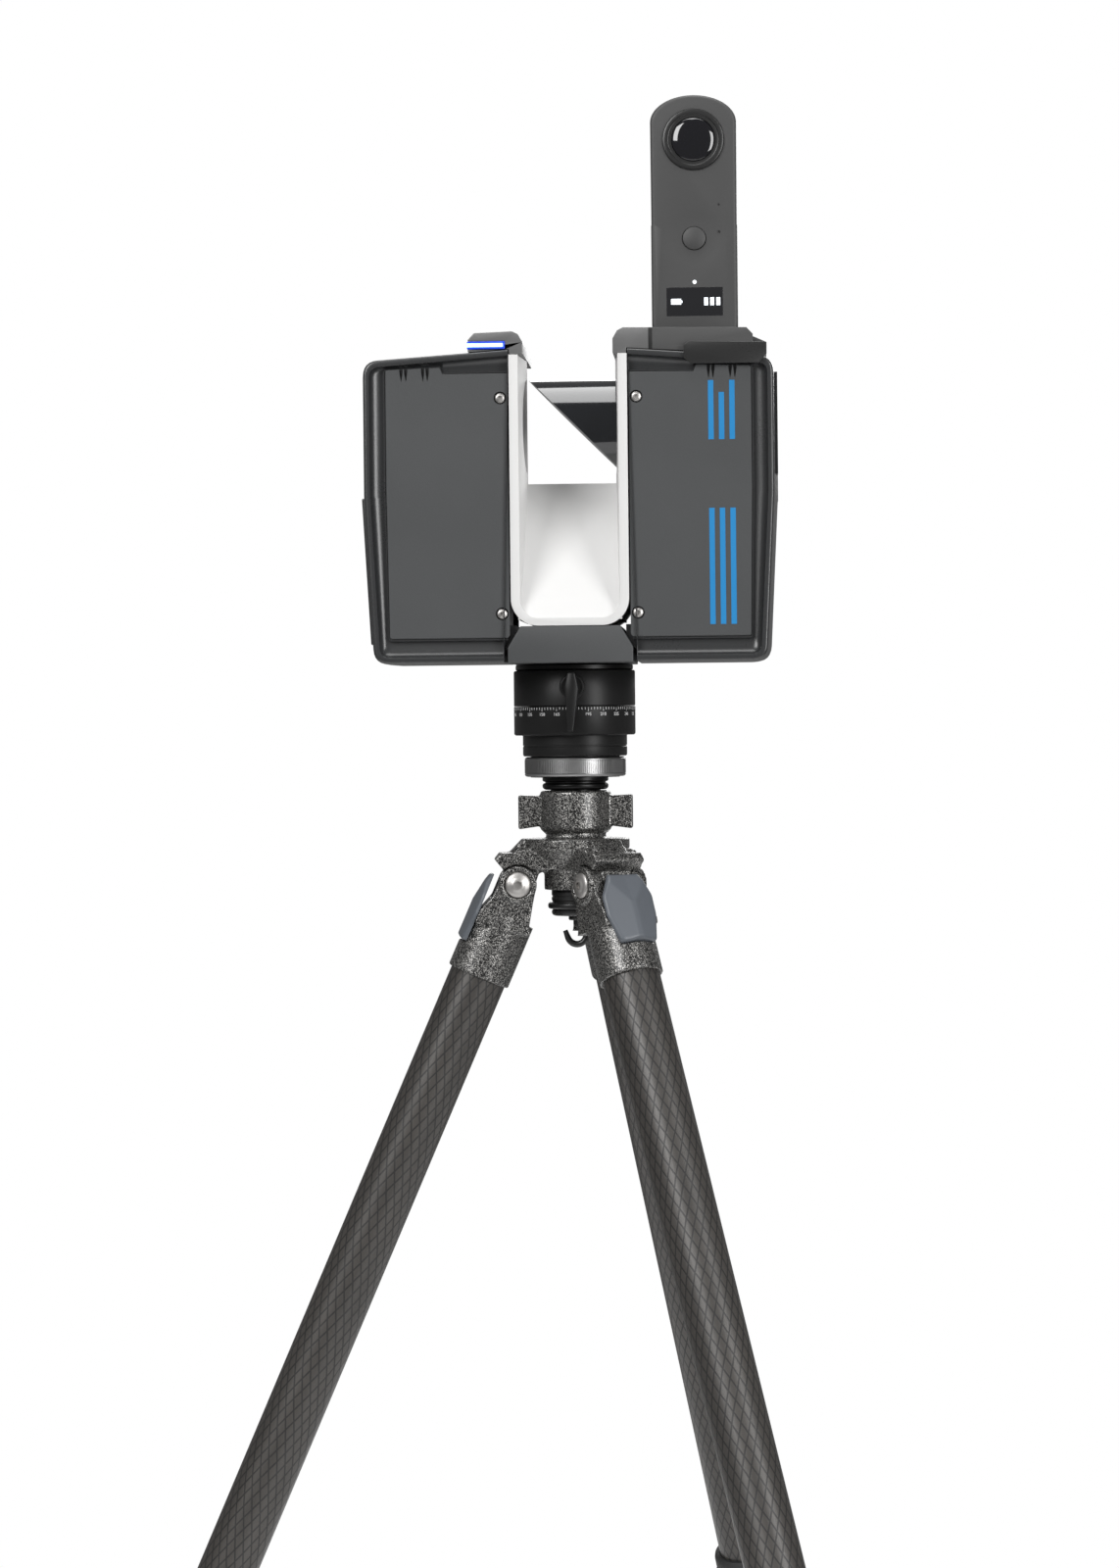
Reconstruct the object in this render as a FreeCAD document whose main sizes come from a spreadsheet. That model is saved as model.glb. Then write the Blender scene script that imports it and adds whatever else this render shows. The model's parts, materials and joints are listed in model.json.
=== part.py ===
import FreeCAD, Part
import math
import os
import re
import Sketcher

# A laser scanner with a clip-on two-lens camera, standing on a carbon-fibre tripod.
# Millimetres, +Z up. The origin is on the floor under the scanner's vertical axis, and the
# scanner's front faces -Y.

DOC = FreeCAD.newDocument("scanner_on_tripod")
SHEET = DOC.addObject("Spreadsheet::Sheet", "dims")

SIZES = {
    # tripod: the legs hang from pivots round the hub and lean outwards
    "leg_lean": 23.5,
    "leg_turn": 4.5,
    "pivot_radius": 33.3,
    "leg_length": 602,
    "pivot_pin_radius": 4,
    "pin_clearance": 0.05,
    "fork_width": 34,
    "fork_slot": 20.6,
    "lug_width": 20,
    "eye_radius": 10.5,
    "sleeve_radius": 17.9,
    "sleeve_start": 19.5,
    "sleeve_end": 56,
    "tube_start": 41,
    "upper_tube_radius": 16,
    "tube_wall": 1.5,
    "slide_gap": 0.6,
    "upper_tube_end": 452,
    "middle_tube_start": 60,
    "middle_tube_end": 515,
    "lower_tube_start": 70,
    "lower_tube_end": 580,
    "lock_wall": 4,
    "upper_lock_start": 444,
    "upper_lock_end": 499,
    "lower_lock_start": 507,
    "lower_lock_end": 560,
    "foot_ball_radius": 7,
    "foot_ball_height": 16,
    "foot_neck_radius": 3.2,
    "pad_radius": 22,
    "latch_inner": 14.2,
    "latch_thick": 5.6,
    "latch_width": 32,
    "latch_drop": 40,
    "bolt_head_radius": 7.2,
    "bolt_head_thick": 3,
    # hub and centre column, heights above the leg pivots
    "hub_boss_radius": 18,
    "hub_plate_radius": 30,
    "hub_plate_low": 19.8,
    "hub_plate_top": 25.3,
    "hub_neck_radius": 16.8,
    "hub_neck_top": 45,
    "hub_low": 3.3,
    "column_radius": 14,
    "column_clearance": 0.08,
    "collar_low": 27.5,
    "collar_top": 52,
    "collar_radius": 19.8,
    "collar_span": 64,
    "wing_half": 6.5,
    "cap_low": 18,
    "stop_low": -13.8,
    "stop_lip": 2,
    "hook_stem_radius": 2,
    "hook_head_radius": 3.8,
    "hook_ring_radius": 5.5,
    "ring_low": 59.9,
    "ring_top": 70.9,
    "ring_radius": 28.5,
    "top_plate_radius": 25,
    "stud_radius": 4.7,
    # adapter between column and scanner, heights above the leg pivots
    "adapter_low": 71.3,
    "adapter_step": 83,
    "adapter_split": 99.3,
    "adapter_top": 119.2,
    "adapter_step_radius": 29.2,
    "adapter_radius": 34,
    "turn_post_radius": 20,
    "knob_height": 109.9,
    "knob_radius": 7,
    "knob_blade_low": 25,
    "knob_blade_up": 8,
    "flange_radius": 33,
    "flat_gap": 0.3,
    # scanner, heights above its own underside
    "scanner_rise": 122.9,
    "scanner_width": 230,
    "scanner_depth": 103,
    "side_draw": 2.3,
    "shell_top_outer": 167.5,
    "shell_top_inner": 172.4,
    "shell_wall": 3.5,
    "frame_width": 65,
    "frame_gap": 55,
    "frame_gap_mid": 49.5,
    "frame_low": 20.5,
    "frame_floor": 24.8,
    "frame_top": 169.6,
    "frame_corner": 15,
    "ridge_height": 101,
    "seam": 0.2,
    "panel_margin": 14.4,
    "panel_low": 14,
    "panel_top": 159.4,
    "panel_tab_top": 163.2,
    "panel_tab_inner": 69,
    "panel_face": 1.5,
    "panel_thick": 5,
    "panel_flange": 2.5,
    "boss_width": 9,
    "screw_radius": 3,
    "screw_shank": 1.6,
    "screw_upper_x": 37.4,
    "screw_upper_z": 145.9,
    "screw_lower_x": 37.4,
    "screw_lower_z": 27.2,
    "cover_low_half": 34.5,
    "cover_corner_z": 8.5,
    "mirror_height": 132.9,
    "mirror_radius": 26.25,
    "mirror_tip": 24,
    "mirror_gap": 0.35,
    "shaft_radius": 6,
    "window_radius": 26.4,
    "window_thick": 3,
    "cap_top": 182.5,
    "cap_reach": 54.9,
    "light_low": 172.8,
    "light_high": 177.1,
    "light_reach": 34.4,
    "door_low": 11,
    "door_top": 93,
    "door_half": 41,
    "door_thick": 3,
    "screen_half": 42,
    "screen_low": 103,
    "screen_top": 159,
    "screen_thick": 2,
    "power_height": 95,
    "power_offset": 34,
    "power_radius": 4,
    "power_travel": 1,
    "mount_top": 183.8,
    # camera, heights above its own underside
    "camera_offset": 69.8,
    "camera_width": 48,
    "camera_height": 132.5,
    "camera_depth": 24,
    "lens_height": 107.5,
    "lens_radius": 12.4,
    "bezel_radius": 17.4,
    "bezel_proud": 1.6,
    "lens_proud": 2.85,
    "shutter_height": 52.5,
    "shutter_radius": 6.4,
    "shutter_travel": 0.6,
}

for row, (alias, size) in enumerate(SIZES.items(), start=1):
    SHEET.set(f"A{row}", str(size))
    SHEET.setAlias(f"A{row}", alias)
DOC.recompute()

ALIASES = re.compile(r"\b(" + "|".join(sorted(SIZES, key=len, reverse=True)) + r")\b")
Y_AXIS = FreeCAD.Vector(0, 1, 0)
X_AXIS = FreeCAD.Vector(1, 0, 0)
SUB_PARTS = []

# Expressions that several pieces share.
PIVOT_HEIGHT = "(leg_length * cos(leg_lean) + foot_ball_height)"
SCANNER_BASE = f"({PIVOT_HEIGHT} + scanner_rise)"
CAMERA_BASE = f"({SCANNER_BASE} + mount_top)"
DEPTH_HALF = "(scanner_depth / 2)"
FRAME_SIDE = "(frame_width / 2)"
SHELL_INNER = "(frame_width / 2 + seam)"
MIDDLE_RADIUS = "(upper_tube_radius - tube_wall - slide_gap)"
LOWER_RADIUS = f"({MIDDLE_RADIUS} - tube_wall - slide_gap)"


def ex(expression):
    """Turn an expression in plain size names into one that reads the spreadsheet."""
    return ALIASES.sub(r"dims.\1", str(expression))


def value(expression):
    """The present number of an expression in plain size names."""
    return float(SHEET.evalExpression(ex(expression)))


def bind(obj, **expressions):
    """Bind properties to expressions; a double underscore stands for a dot."""
    for name, expression in expressions.items():
        obj.setExpression(name.replace("__", "."), ex(expression))
    return obj


def box(x_low, x_high, y_low, y_high, z_low, z_high):
    """A box between two opposite corners."""
    solid = DOC.addObject("Part::Box", "box")
    return bind(
        solid,
        Length=f"({x_high}) - ({x_low})",
        Width=f"({y_high}) - ({y_low})",
        Height=f"({z_high}) - ({z_low})",
        Placement__Base__x=x_low,
        Placement__Base__y=y_low,
        Placement__Base__z=z_low,
    )


def rod(radius, low, high, axis="z", centre=("0", "0")):
    """A cylinder along an axis, from low to high; centre gives its two other coordinates."""
    solid = DOC.addObject("Part::Cylinder", "rod")
    bind(solid, Radius=radius, Height=f"({high}) - ({low})")
    if axis == "x":
        solid.Placement.Rotation = FreeCAD.Rotation(Y_AXIS, 90)
        base = (low, centre[0], centre[1])
    elif axis == "y":
        solid.Placement.Rotation = FreeCAD.Rotation(X_AXIS, -90)
        base = (centre[0], low, centre[1])
    else:
        base = (centre[0], centre[1], low)
    return bind(
        solid,
        Placement__Base__x=base[0],
        Placement__Base__y=base[1],
        Placement__Base__z=base[2],
    )


def ball(radius, height):
    """A sphere on the Z axis."""
    solid = DOC.addObject("Part::Sphere", "ball")
    return bind(solid, Radius=radius, Placement__Base__z=height)


def fuse(*solids):
    """One solid out of several that meet."""
    joined = DOC.addObject("Part::MultiFuse", "fuse")
    joined.Shapes = list(solids)
    joined.Refine = True
    return joined


def cut(base, *tools):
    """The base less every tool."""
    result = DOC.addObject("Part::Cut", "cut")
    result.Base = base
    result.Tool = tools[0] if len(tools) == 1 else fuse(*tools)
    result.Refine = True
    return result


def common(first, second):
    """What two solids share."""
    result = DOC.addObject("Part::MultiCommon", "common")
    result.Shapes = [first, second]
    return result


def sketch_outline(body, role, points, offset="0"):
    """A closed polygon on an origin plane, every corner held by expressions."""
    plane = next(item for item in body.Origin.OriginFeatures if item.Role == role)
    sketch = body.newObject("Sketcher::SketchObject", "outline")
    sketch.AttachmentSupport = (plane, [""])
    sketch.MapMode = "FlatFace"
    bind(sketch, AttachmentOffset__Base__z=offset)
    corners = [FreeCAD.Vector(value(across), value(up), 0) for across, up in points]
    for index, corner in enumerate(corners):
        sketch.addGeometry(Part.LineSegment(corner, corners[(index + 1) % len(corners)]))
    for index in range(len(corners)):
        sketch.addConstraint(Sketcher.Constraint("Coincident", index, 2, (index + 1) % len(corners), 1))
    for index, (across, up) in enumerate(points):
        for kind, expression, size in (("DistanceX", across, corners[index].x),
                                       ("DistanceY", up, corners[index].y)):
            number = sketch.addConstraint(Sketcher.Constraint(kind, -1, 1, index, 1, size))
            sketch.setExpression(f"Constraints[{number}]", ex(expression))
    return sketch


def prism(role, points, low, high):
    """A polygon padded along its plane's normal axis, from low to high."""
    body = DOC.addObject("PartDesign::Body", "prism")
    offset = f"-({high})" if role == "XZ_Plane" else low
    sketch = sketch_outline(body, role, points, offset)
    pad = body.newObject("PartDesign::Pad", "pad")
    pad.Profile = sketch
    bind(pad, Length=f"({high}) - ({low})")
    DOC.recompute()
    return body


def turned(points):
    """A profile of (radius, height) points turned about the Z axis."""
    body = DOC.addObject("PartDesign::Body", "turned")
    sketch = sketch_outline(body, "XZ_Plane", points)
    turn = body.newObject("PartDesign::Revolution", "turn")
    turn.Profile = sketch
    turn.ReferenceAxis = (sketch, ["V_Axis"])
    turn.Angle = 360
    DOC.recompute()
    return body


def rounded(body, radius, wanted):
    """Fillet the edges of a body that wanted(edge) picks out."""
    DOC.recompute()
    base = body.Tip
    names = [f"Edge{number}" for number, edge in enumerate(base.Shape.Edges, start=1) if wanted(edge)]
    fillet = body.newObject("PartDesign::Fillet", "fillet")
    fillet.Base = (base, names)
    bind(fillet, Radius=radius)
    DOC.recompute()
    return body


def along(axis, **near):
    """An edge test: straight along an axis, and passing near the given coordinates."""
    def wanted(edge):
        if edge.Curve.TypeId != "Part::GeomLine":
            return False
        direction = edge.Vertexes[-1].Point - edge.Vertexes[0].Point
        if abs(getattr(direction, axis)) < 0.99 * direction.Length:
            return False
        middle = edge.CenterOfMass
        return all(any(abs(getattr(middle, name) - place) < 0.05 for place in places)
                   for name, places in near.items())
    return wanted


def mirrored(outline):
    """The same outline on the other side of the middle, its order turned round."""
    return [(f"-({across})", up) for across, up in reversed(outline)]


def sub_part(solid, label, placement=None):
    """Name a finished sub-part and put it in its place."""
    solid.Label = label
    if placement:
        solid.setExpression("Placement", ex(placement))
    SUB_PARTS.append(solid)
    return solid


def raised(piece, height):
    """Give a piece its height above the floor."""
    return bind(piece, Placement__Base__z=height)


def group(label, solids, placement=None):
    """Several separate solids of one kind in one node."""
    bundle = DOC.addObject("Part::Compound", "group")
    bundle.Links = solids
    return sub_part(bundle, label, placement)


def lifted(height):
    """A placement straight up by a height."""
    return f"placement(vector(0; 0; {height}); rotation(0; 0; 0))"


# --- legs -------------------------------------------------------------------------------
# A leg is drawn about its pivot: -Z runs down the leg, +X is the outer side, Y is the pin.

def leg_place(azimuth):
    """Placement of a leg's own frame at its pivot, leaning outwards."""
    centre = f"vector(pivot_radius * cos({azimuth}); pivot_radius * sin({azimuth}); {PIVOT_HEIGHT})"
    return f"placement({centre}; rotation({azimuth}; -leg_lean; 0))"


def foot_place(azimuth):
    """Placement of a foot pad, flat on the floor under the foot ball."""
    reach = "(pivot_radius + leg_length * sin(leg_lean))"
    centre = f"vector({reach} * cos({azimuth}); {reach} * sin({azimuth}); 0)"
    return f"placement({centre}; rotation({azimuth}; 0; 0))"


def leg_casting():
    """Fork at the top, sleeve for the tube below, flat seat for the angle latch outside."""
    half = "fork_width / 2"
    cheeks = prism("XZ_Plane", [
        ("-eye_radius", "0"),
        ("-eye_radius - 1.4", "-6.8"),
        ("-15", "-sleeve_start"),
        ("-sleeve_radius + 0.5", "-sleeve_start - 4"),
        ("sleeve_radius - 1", "-sleeve_start - 10"),
        ("eye_radius", "-11"),
        ("eye_radius", "0"),
    ], f"-{half}", half)
    eye = rod("eye_radius", f"-{half}", half, "y")
    sleeve = rod("sleeve_radius", "-sleeve_end", "-sleeve_start")
    blank = fuse(cheeks, eye, sleeve)
    socket = cut(
        rod("upper_tube_radius", "-sleeve_end - 1", "-tube_start"),
        rod("upper_tube_radius - tube_wall", "-sleeve_end - 1", "-tube_start"),
    )
    slot = box("-2 * sleeve_radius", "2 * sleeve_radius", "-fork_slot / 2", "fork_slot / 2",
               "-eye_radius - 2", "2 * eye_radius")
    pin_bore = rod("pivot_pin_radius + pin_clearance", "-fork_width", "fork_width", "y")
    latch_seat = box("latch_inner - seam", "2 * sleeve_radius", "-fork_width", "fork_width",
                     "-latch_drop - 0.5", "eye_radius")
    return cut(blank, socket, slot, pin_bore, latch_seat)


def tube(radius, start, end):
    """An open carbon tube down the leg."""
    return cut(
        rod(radius, f"-({end})", f"-({start})"),
        rod(f"{radius} - tube_wall", f"-({end}) - 1", f"-({start}) + 1"),
    )


def twist_lock(upper_radius, lower_radius, start, end, seat_end):
    """A grip sleeve that turns on the end of one tube and closes on the next."""
    return turned([
        (f"{lower_radius} + pin_clearance", f"-({end})"),
        (f"{upper_radius} + lock_wall - 2", f"-({end})"),
        (f"{upper_radius} + lock_wall", f"-({end}) + 5"),
        (f"{upper_radius} + lock_wall", f"-({start}) - 3"),
        (f"{upper_radius} + lock_wall - 1.5", f"-({start})"),
        (f"{upper_radius} + pin_clearance", f"-({start})"),
        (f"{upper_radius} + pin_clearance", f"-({seat_end}) - 1"),
        (f"{lower_radius} + pin_clearance", f"-({seat_end}) - 1"),
    ])


def lower_tube():
    """Lowest tube with its closed end, neck and foot ball."""
    shank = tube(LOWER_RADIUS, "lower_tube_start", "lower_tube_end - 4")
    end_piece = turned([
        ("0", "-leg_length"),
        ("foot_neck_radius", "-leg_length"),
        ("foot_neck_radius", "-lower_tube_end - 7"),
        (LOWER_RADIUS, "-lower_tube_end"),
        (LOWER_RADIUS, "-lower_tube_end + 4"),
        (f"{LOWER_RADIUS} - tube_wall", "-lower_tube_end + 4"),
        (f"{LOWER_RADIUS} - tube_wall", "-lower_tube_end + 14"),
        ("0", "-lower_tube_end + 14"),
    ])
    return fuse(shank, end_piece, ball("foot_ball_radius", "-leg_length"))


def foot_pad():
    """Rubber pad with a socket round the foot ball."""
    rim = "foot_ball_height + 3"
    blank = turned([
        ("0", "0"),
        ("pad_radius", "0"),
        ("pad_radius", "5"),
        ("pad_radius - 8", "9"),
        ("foot_ball_radius + 4", rim),
        ("0", rim),
    ])
    mouth = turned([
        ("0", "foot_ball_height + 1.5"),
        ("foot_ball_radius - 1", "foot_ball_height + 1.5"),
        ("foot_ball_radius + 2", "foot_ball_height + 4"),
        ("0", "foot_ball_height + 4"),
    ])
    return cut(blank, ball("foot_ball_radius + pin_clearance", "foot_ball_height"), mouth)


def angle_latch():
    """Shield-shaped slide that locks the leg's angle."""
    shield = prism("YZ_Plane", [
        ("-0.32 * latch_width", "0"),
        ("-0.5 * latch_width", "-0.32 * latch_drop"),
        ("-0.5 * latch_width", "-0.62 * latch_drop"),
        ("-0.36 * latch_width", "-latch_drop"),
        ("0.36 * latch_width", "-latch_drop"),
        ("0.5 * latch_width", "-0.62 * latch_drop"),
        ("0.5 * latch_width", "-0.32 * latch_drop"),
        ("0.32 * latch_width", "0"),
    ], "latch_inner", "latch_inner + latch_thick")
    return rounded(shield, 1.2, lambda edge: abs(
        edge.CenterOfMass.x - value("latch_inner + latch_thick")) < 0.01)


def pivot_bolt():
    """Shouldered pin with a button head on each side of the fork."""
    half = "(fork_width / 2 + flat_gap)"
    pin = rod("pivot_pin_radius", f"-{half}", half, "y")
    near_head = rod("bolt_head_radius", f"-{half} - bolt_head_thick", f"-{half}", "y")
    far_head = rod("bolt_head_radius", half, f"{half} + bolt_head_thick", "y")
    return fuse(pin, near_head, far_head)


bolts = []
for leg in (1, 2, 3):
    turn = f"(leg_turn + 60 + {120 * leg})"
    place = leg_place(turn)
    name = f"leg_{leg}"
    sub_part(leg_casting(), f"{name}_casting", place)
    sub_part(tube("upper_tube_radius", "tube_start", "upper_tube_end"), f"{name}_upper_tube", place)
    sub_part(twist_lock("upper_tube_radius", MIDDLE_RADIUS, "upper_lock_start",
                        "upper_lock_end", "upper_tube_end"), f"{name}_upper_twist_lock", place)
    sub_part(tube(MIDDLE_RADIUS, "middle_tube_start", "middle_tube_end"),
             f"{name}_middle_tube", place)
    sub_part(twist_lock(MIDDLE_RADIUS, LOWER_RADIUS, "lower_lock_start",
                        "lower_lock_end", "middle_tube_end"), f"{name}_lower_twist_lock", place)
    sub_part(lower_tube(), f"{name}_lower_tube", place)
    sub_part(foot_pad(), f"{name}_foot_pad", foot_place(turn))
    sub_part(angle_latch(), f"{name}_angle_latch", place)
    bolt = pivot_bolt()
    bolt.setExpression("Placement", ex(place))
    bolts.append(bolt)
group("leg_pivot_bolts", bolts)


# --- hub and centre column --------------------------------------------------------------
# Drawn about the height of the leg pivots.

def hub_arm(azimuth):
    """Lug between a fork's cheeks, with the wide stepped shoulder over it."""
    lug = prism("XZ_Plane", [
        ("0", "hub_plate_top"),
        ("hub_plate_radius", "hub_plate_top"),
        ("pivot_radius + 5", "hub_plate_low - 3"),
        ("pivot_radius + 9.5", "0"),
        ("pivot_radius + 4", "-9"),
        ("pivot_radius - 4", "-9"),
        ("pivot_radius - 9", "-3"),
        ("pivot_radius - 12", "hub_low + 2.7"),
        ("hub_boss_radius - 1", "hub_low + 4"),
        ("0", "hub_low + 4"),
    ], "-lug_width / 2", "lug_width / 2")
    shoulder = prism("XZ_Plane", [
        ("0", "hub_plate_low"),
        ("hub_plate_radius + 4", "hub_plate_low"),
        ("hub_plate_radius + 5", "hub_plate_low - 2"),
        ("pivot_radius + 9.5", "hub_plate_low - 2.2"),
        ("pivot_radius + 12.5", "hub_plate_low - 6"),
        ("pivot_radius + 8", "hub_plate_low - 11.5"),
        ("0", "hub_plate_low - 11.5"),
    ], "-fork_width / 2 + 1", "fork_width / 2 - 1")
    eye_room = rod("eye_radius + flat_gap + 0.2", "-fork_width", "fork_width", "y", ("pivot_radius", "0"))
    solid = fuse(cut(shoulder, eye_room), lug)
    bore = rod("pivot_pin_radius", "-fork_width", "fork_width", "y", ("pivot_radius", "0"))
    arm = cut(solid, bore)
    arm.setExpression("Placement", ex(f"placement(vector(0; 0; 0); rotation({azimuth}; 0; 0))"))
    return arm


def tripod_hub():
    """Three-armed casting with a threaded neck and the column's bore."""
    core = turned([
        ("column_radius + column_clearance", "-hub_low"),
        ("hub_boss_radius", "-hub_low"),
        ("hub_boss_radius", "hub_low + 3"),
        ("hub_boss_radius + 6", "hub_plate_low - 6"),
        ("hub_plate_radius", "hub_plate_low"),
        ("hub_plate_radius", "hub_plate_top"),
        ("hub_neck_radius", "hub_plate_top"),
        ("hub_neck_radius", "hub_neck_top"),
        ("column_radius + column_clearance", "hub_neck_top"),
    ])
    arms = [hub_arm(f"(leg_turn + 60 + {120 * leg})") for leg in (1, 2, 3)]
    column_bore = rod("column_radius + column_clearance", "-2 * hub_boss_radius", "2 * hub_neck_top")
    return cut(fuse(core, *arms), column_bore)


def lock_collar():
    """Winged collar that screws down on the hub's neck and grips the column."""
    sleeve = turned([
        ("hub_neck_radius + pin_clearance", "collar_low"),
        ("collar_radius - 3", "collar_low"),
        ("collar_radius", "collar_low + 3"),
        ("collar_radius", "collar_top - 1"),
        ("collar_radius - 1", "collar_top"),
        ("column_radius + flat_gap", "collar_top"),
        ("column_radius + flat_gap", "hub_neck_top + flat_gap"),
        ("hub_neck_radius + pin_clearance", "hub_neck_top + flat_gap"),
    ])
    wing_points = [
        ("collar_radius - 2", "collar_low + 5"),
        ("collar_span / 2", "collar_low + 3"),
        ("collar_span / 2", "collar_top - 2.4"),
        ("collar_radius - 2", "collar_top - 3"),
    ]
    wing = prism("XZ_Plane", wing_points, "-wing_half", "wing_half")
    far_wing = prism("XZ_Plane", mirrored(wing_points), "-wing_half", "wing_half")
    return fuse(sleeve, wing, far_wing)


def top_plate():
    """Plate on the column's head, with two neck rings below it and the mounting stud above."""
    return turned([
        ("0", "collar_top + 0.5"),
        ("column_radius + 3", "collar_top + 0.5"),
        ("column_radius + 4.5", "collar_top + 1.5"),
        ("column_radius + 4.5", "collar_top + 3.5"),
        ("column_radius + 3", "collar_top + 4.3"),
        ("column_radius + 4.5", "collar_top + 5.2"),
        ("column_radius + 4.5", "ring_low - 0.4"),
        ("top_plate_radius", "ring_low - 0.4"),
        ("top_plate_radius", "adapter_low"),
        ("stud_radius", "adapter_low"),
        ("stud_radius", "adapter_low + 9"),
        ("0", "adapter_low + 9"),
    ])


def end_cap():
    """Cap on the column's lower end, with the lip that stops its rise and the hook's seat."""
    return turned([
        ("hook_stem_radius + pin_clearance", "-cap_low"),
        ("column_radius - 1", "-cap_low"),
        ("column_radius", "-cap_low + 1"),
        ("column_radius", "stop_low - 0.6"),
        ("column_radius + stop_lip", "stop_low"),
        ("column_radius + stop_lip", "stop_low + 3"),
        ("column_radius", "stop_low + 3.6"),
        ("column_radius", "-hub_low - 1.5"),
        ("column_radius - 2", "-hub_low - 1.5"),
        ("column_radius - 2", "-hub_low + 8"),
        ("hook_head_radius + flat_gap", "-hub_low + 8"),
        ("hook_head_radius + flat_gap", "-cap_low + 6 - flat_gap"),
        ("hook_stem_radius + pin_clearance", "-cap_low + 6 - flat_gap"),
    ])


def weight_hook():
    """Wire hook on a swivelling stem under the column."""
    stem = turned([
        ("0", "-cap_low - 6.5"),
        ("hook_stem_radius", "-cap_low - 6.5"),
        ("hook_stem_radius", "-cap_low + 6"),
        ("hook_head_radius", "-cap_low + 6"),
        ("hook_head_radius", "-cap_low + 8"),
        ("0", "-cap_low + 8"),
    ])
    ring = DOC.addObject("Part::Torus", "hook_ring")
    ring.Placement.Rotation = FreeCAD.Rotation(X_AXIS, 90)
    centre = "-cap_low - 5.5 - hook_ring_radius"
    bind(ring, Radius1="hook_ring_radius", Radius2="hook_stem_radius - 0.1", Placement__Base__z=centre)
    mouth = box("-2 * hook_ring_radius", "-1.5", "-4", "4", centre, "-cap_low - 2")
    return fuse(cut(ring, mouth), stem)


def knurled_ring():
    """Lock ring round the top plate."""
    return turned([
        ("top_plate_radius + pin_clearance", "ring_low"),
        ("ring_radius - 1.2", "ring_low"),
        ("ring_radius", "ring_low + 1.2"),
        ("ring_radius", "ring_top - 1.2"),
        ("ring_radius - 1.2", "ring_top"),
        ("top_plate_radius + pin_clearance", "ring_top"),
    ])


def adapter_base():
    """Stepped lower ring that carries the degree scale and the turning post."""
    return turned([
        ("stud_radius", "adapter_low"),
        ("adapter_step_radius", "adapter_low"),
        ("adapter_step_radius", "adapter_step"),
        ("adapter_radius", "adapter_step"),
        ("adapter_radius", "adapter_split - seam"),
        ("turn_post_radius", "adapter_split - seam"),
        ("turn_post_radius", "adapter_top - 8"),
        ("stud_radius", "adapter_top - 8"),
    ])


def adapter_head():
    """Upper ring that turns on the post and takes the scanner's flange."""
    ring = turned([
        ("turn_post_radius + pin_clearance", "adapter_split"),
        ("adapter_radius", "adapter_split"),
        ("adapter_radius", "adapter_top"),
        ("0", "adapter_top"),
        ("0", "adapter_top - 7"),
        ("turn_post_radius + pin_clearance", "adapter_top - 7"),
    ])
    knob_bore = rod("3 + pin_clearance", "-adapter_radius - 2", "-adapter_radius + 8", "y",
                    ("0", "knob_height"))
    return cut(ring, knob_bore)


def adapter_knob():
    """Clamp screw with a disc head and a long lever blade."""
    face = "(-adapter_radius - 6.5)"
    screw = rod("3", f"{face}", "-adapter_radius + 7", "y", ("0", "knob_height"))
    disc = rod("knob_radius", face, "-adapter_radius - 0.6", "y", ("0", "knob_height"))
    blade = prism("XZ_Plane", [
        ("-2.6", "knob_height + knob_blade_up"),
        ("-1", "knob_height + knob_blade_up + 0.6"),
        ("1.8", "knob_height + knob_blade_up - 2"),
        ("3.4", "knob_height - 6"),
        ("4.2", "knob_height - knob_blade_low"),
        ("1.6", "knob_height - knob_blade_low - 0.4"),
        ("-1.6", "knob_height - 10"),
        ("-3.2", "knob_height"),
    ], f"{face} - 4.5", f"{face} + 1")
    return fuse(screw, disc, blade)


def azimuth_bearing():
    """Fixed flange and spindle on which the whole scanner turns."""
    return turned([
        ("0", "adapter_top"),
        ("flange_radius", "adapter_top"),
        ("flange_radius", "scanner_rise - flat_gap"),
        ("15", "scanner_rise - flat_gap"),
        ("15", "scanner_rise + 12"),
        ("0", "scanner_rise + 12"),
    ])


at_pivots = lifted(PIVOT_HEIGHT)
column = tube("column_radius", "-(collar_top + 0.5)", "hub_low + 1.5")
sub_part(tripod_hub(), "tripod_hub", at_pivots)
sub_part(lock_collar(), "column_lock_collar", at_pivots)
sub_part(column, "column_tube", at_pivots)
sub_part(top_plate(), "column_top_plate", at_pivots)
sub_part(end_cap(), "column_end_cap", at_pivots)
sub_part(weight_hook(), "weight_hook", at_pivots)
sub_part(knurled_ring(), "thread_ring", at_pivots)
sub_part(adapter_base(), "adapter_base", at_pivots)
sub_part(adapter_head(), "adapter_head", at_pivots)
sub_part(adapter_knob(), "adapter_lock_knob", at_pivots)
sub_part(azimuth_bearing(), "azimuth_bearing", at_pivots)


# --- scanner ----------------------------------------------------------------------------
# Drawn about the middle of its underside: X across the two columns, -Y to the front.

def cover_outline():
    """Front outline of the cover under the silver frame."""
    return [
        ("-cover_low_half", "0"),
        ("cover_low_half", "0"),
        ("cover_low_half", "cover_corner_z"),
        ("frame_gap / 2", "frame_low - seam"),
        ("-frame_gap / 2", "frame_low - seam"),
        ("-cover_low_half", "cover_corner_z"),
    ]


def centre_cover():
    """Cover between the columns, bored for the azimuth spindle."""
    slab = prism("XZ_Plane", cover_outline(), f"-{DEPTH_HALF}", DEPTH_HALF)
    return cut(slab, rod("15 + pin_clearance", "-1", "13"))


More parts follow.
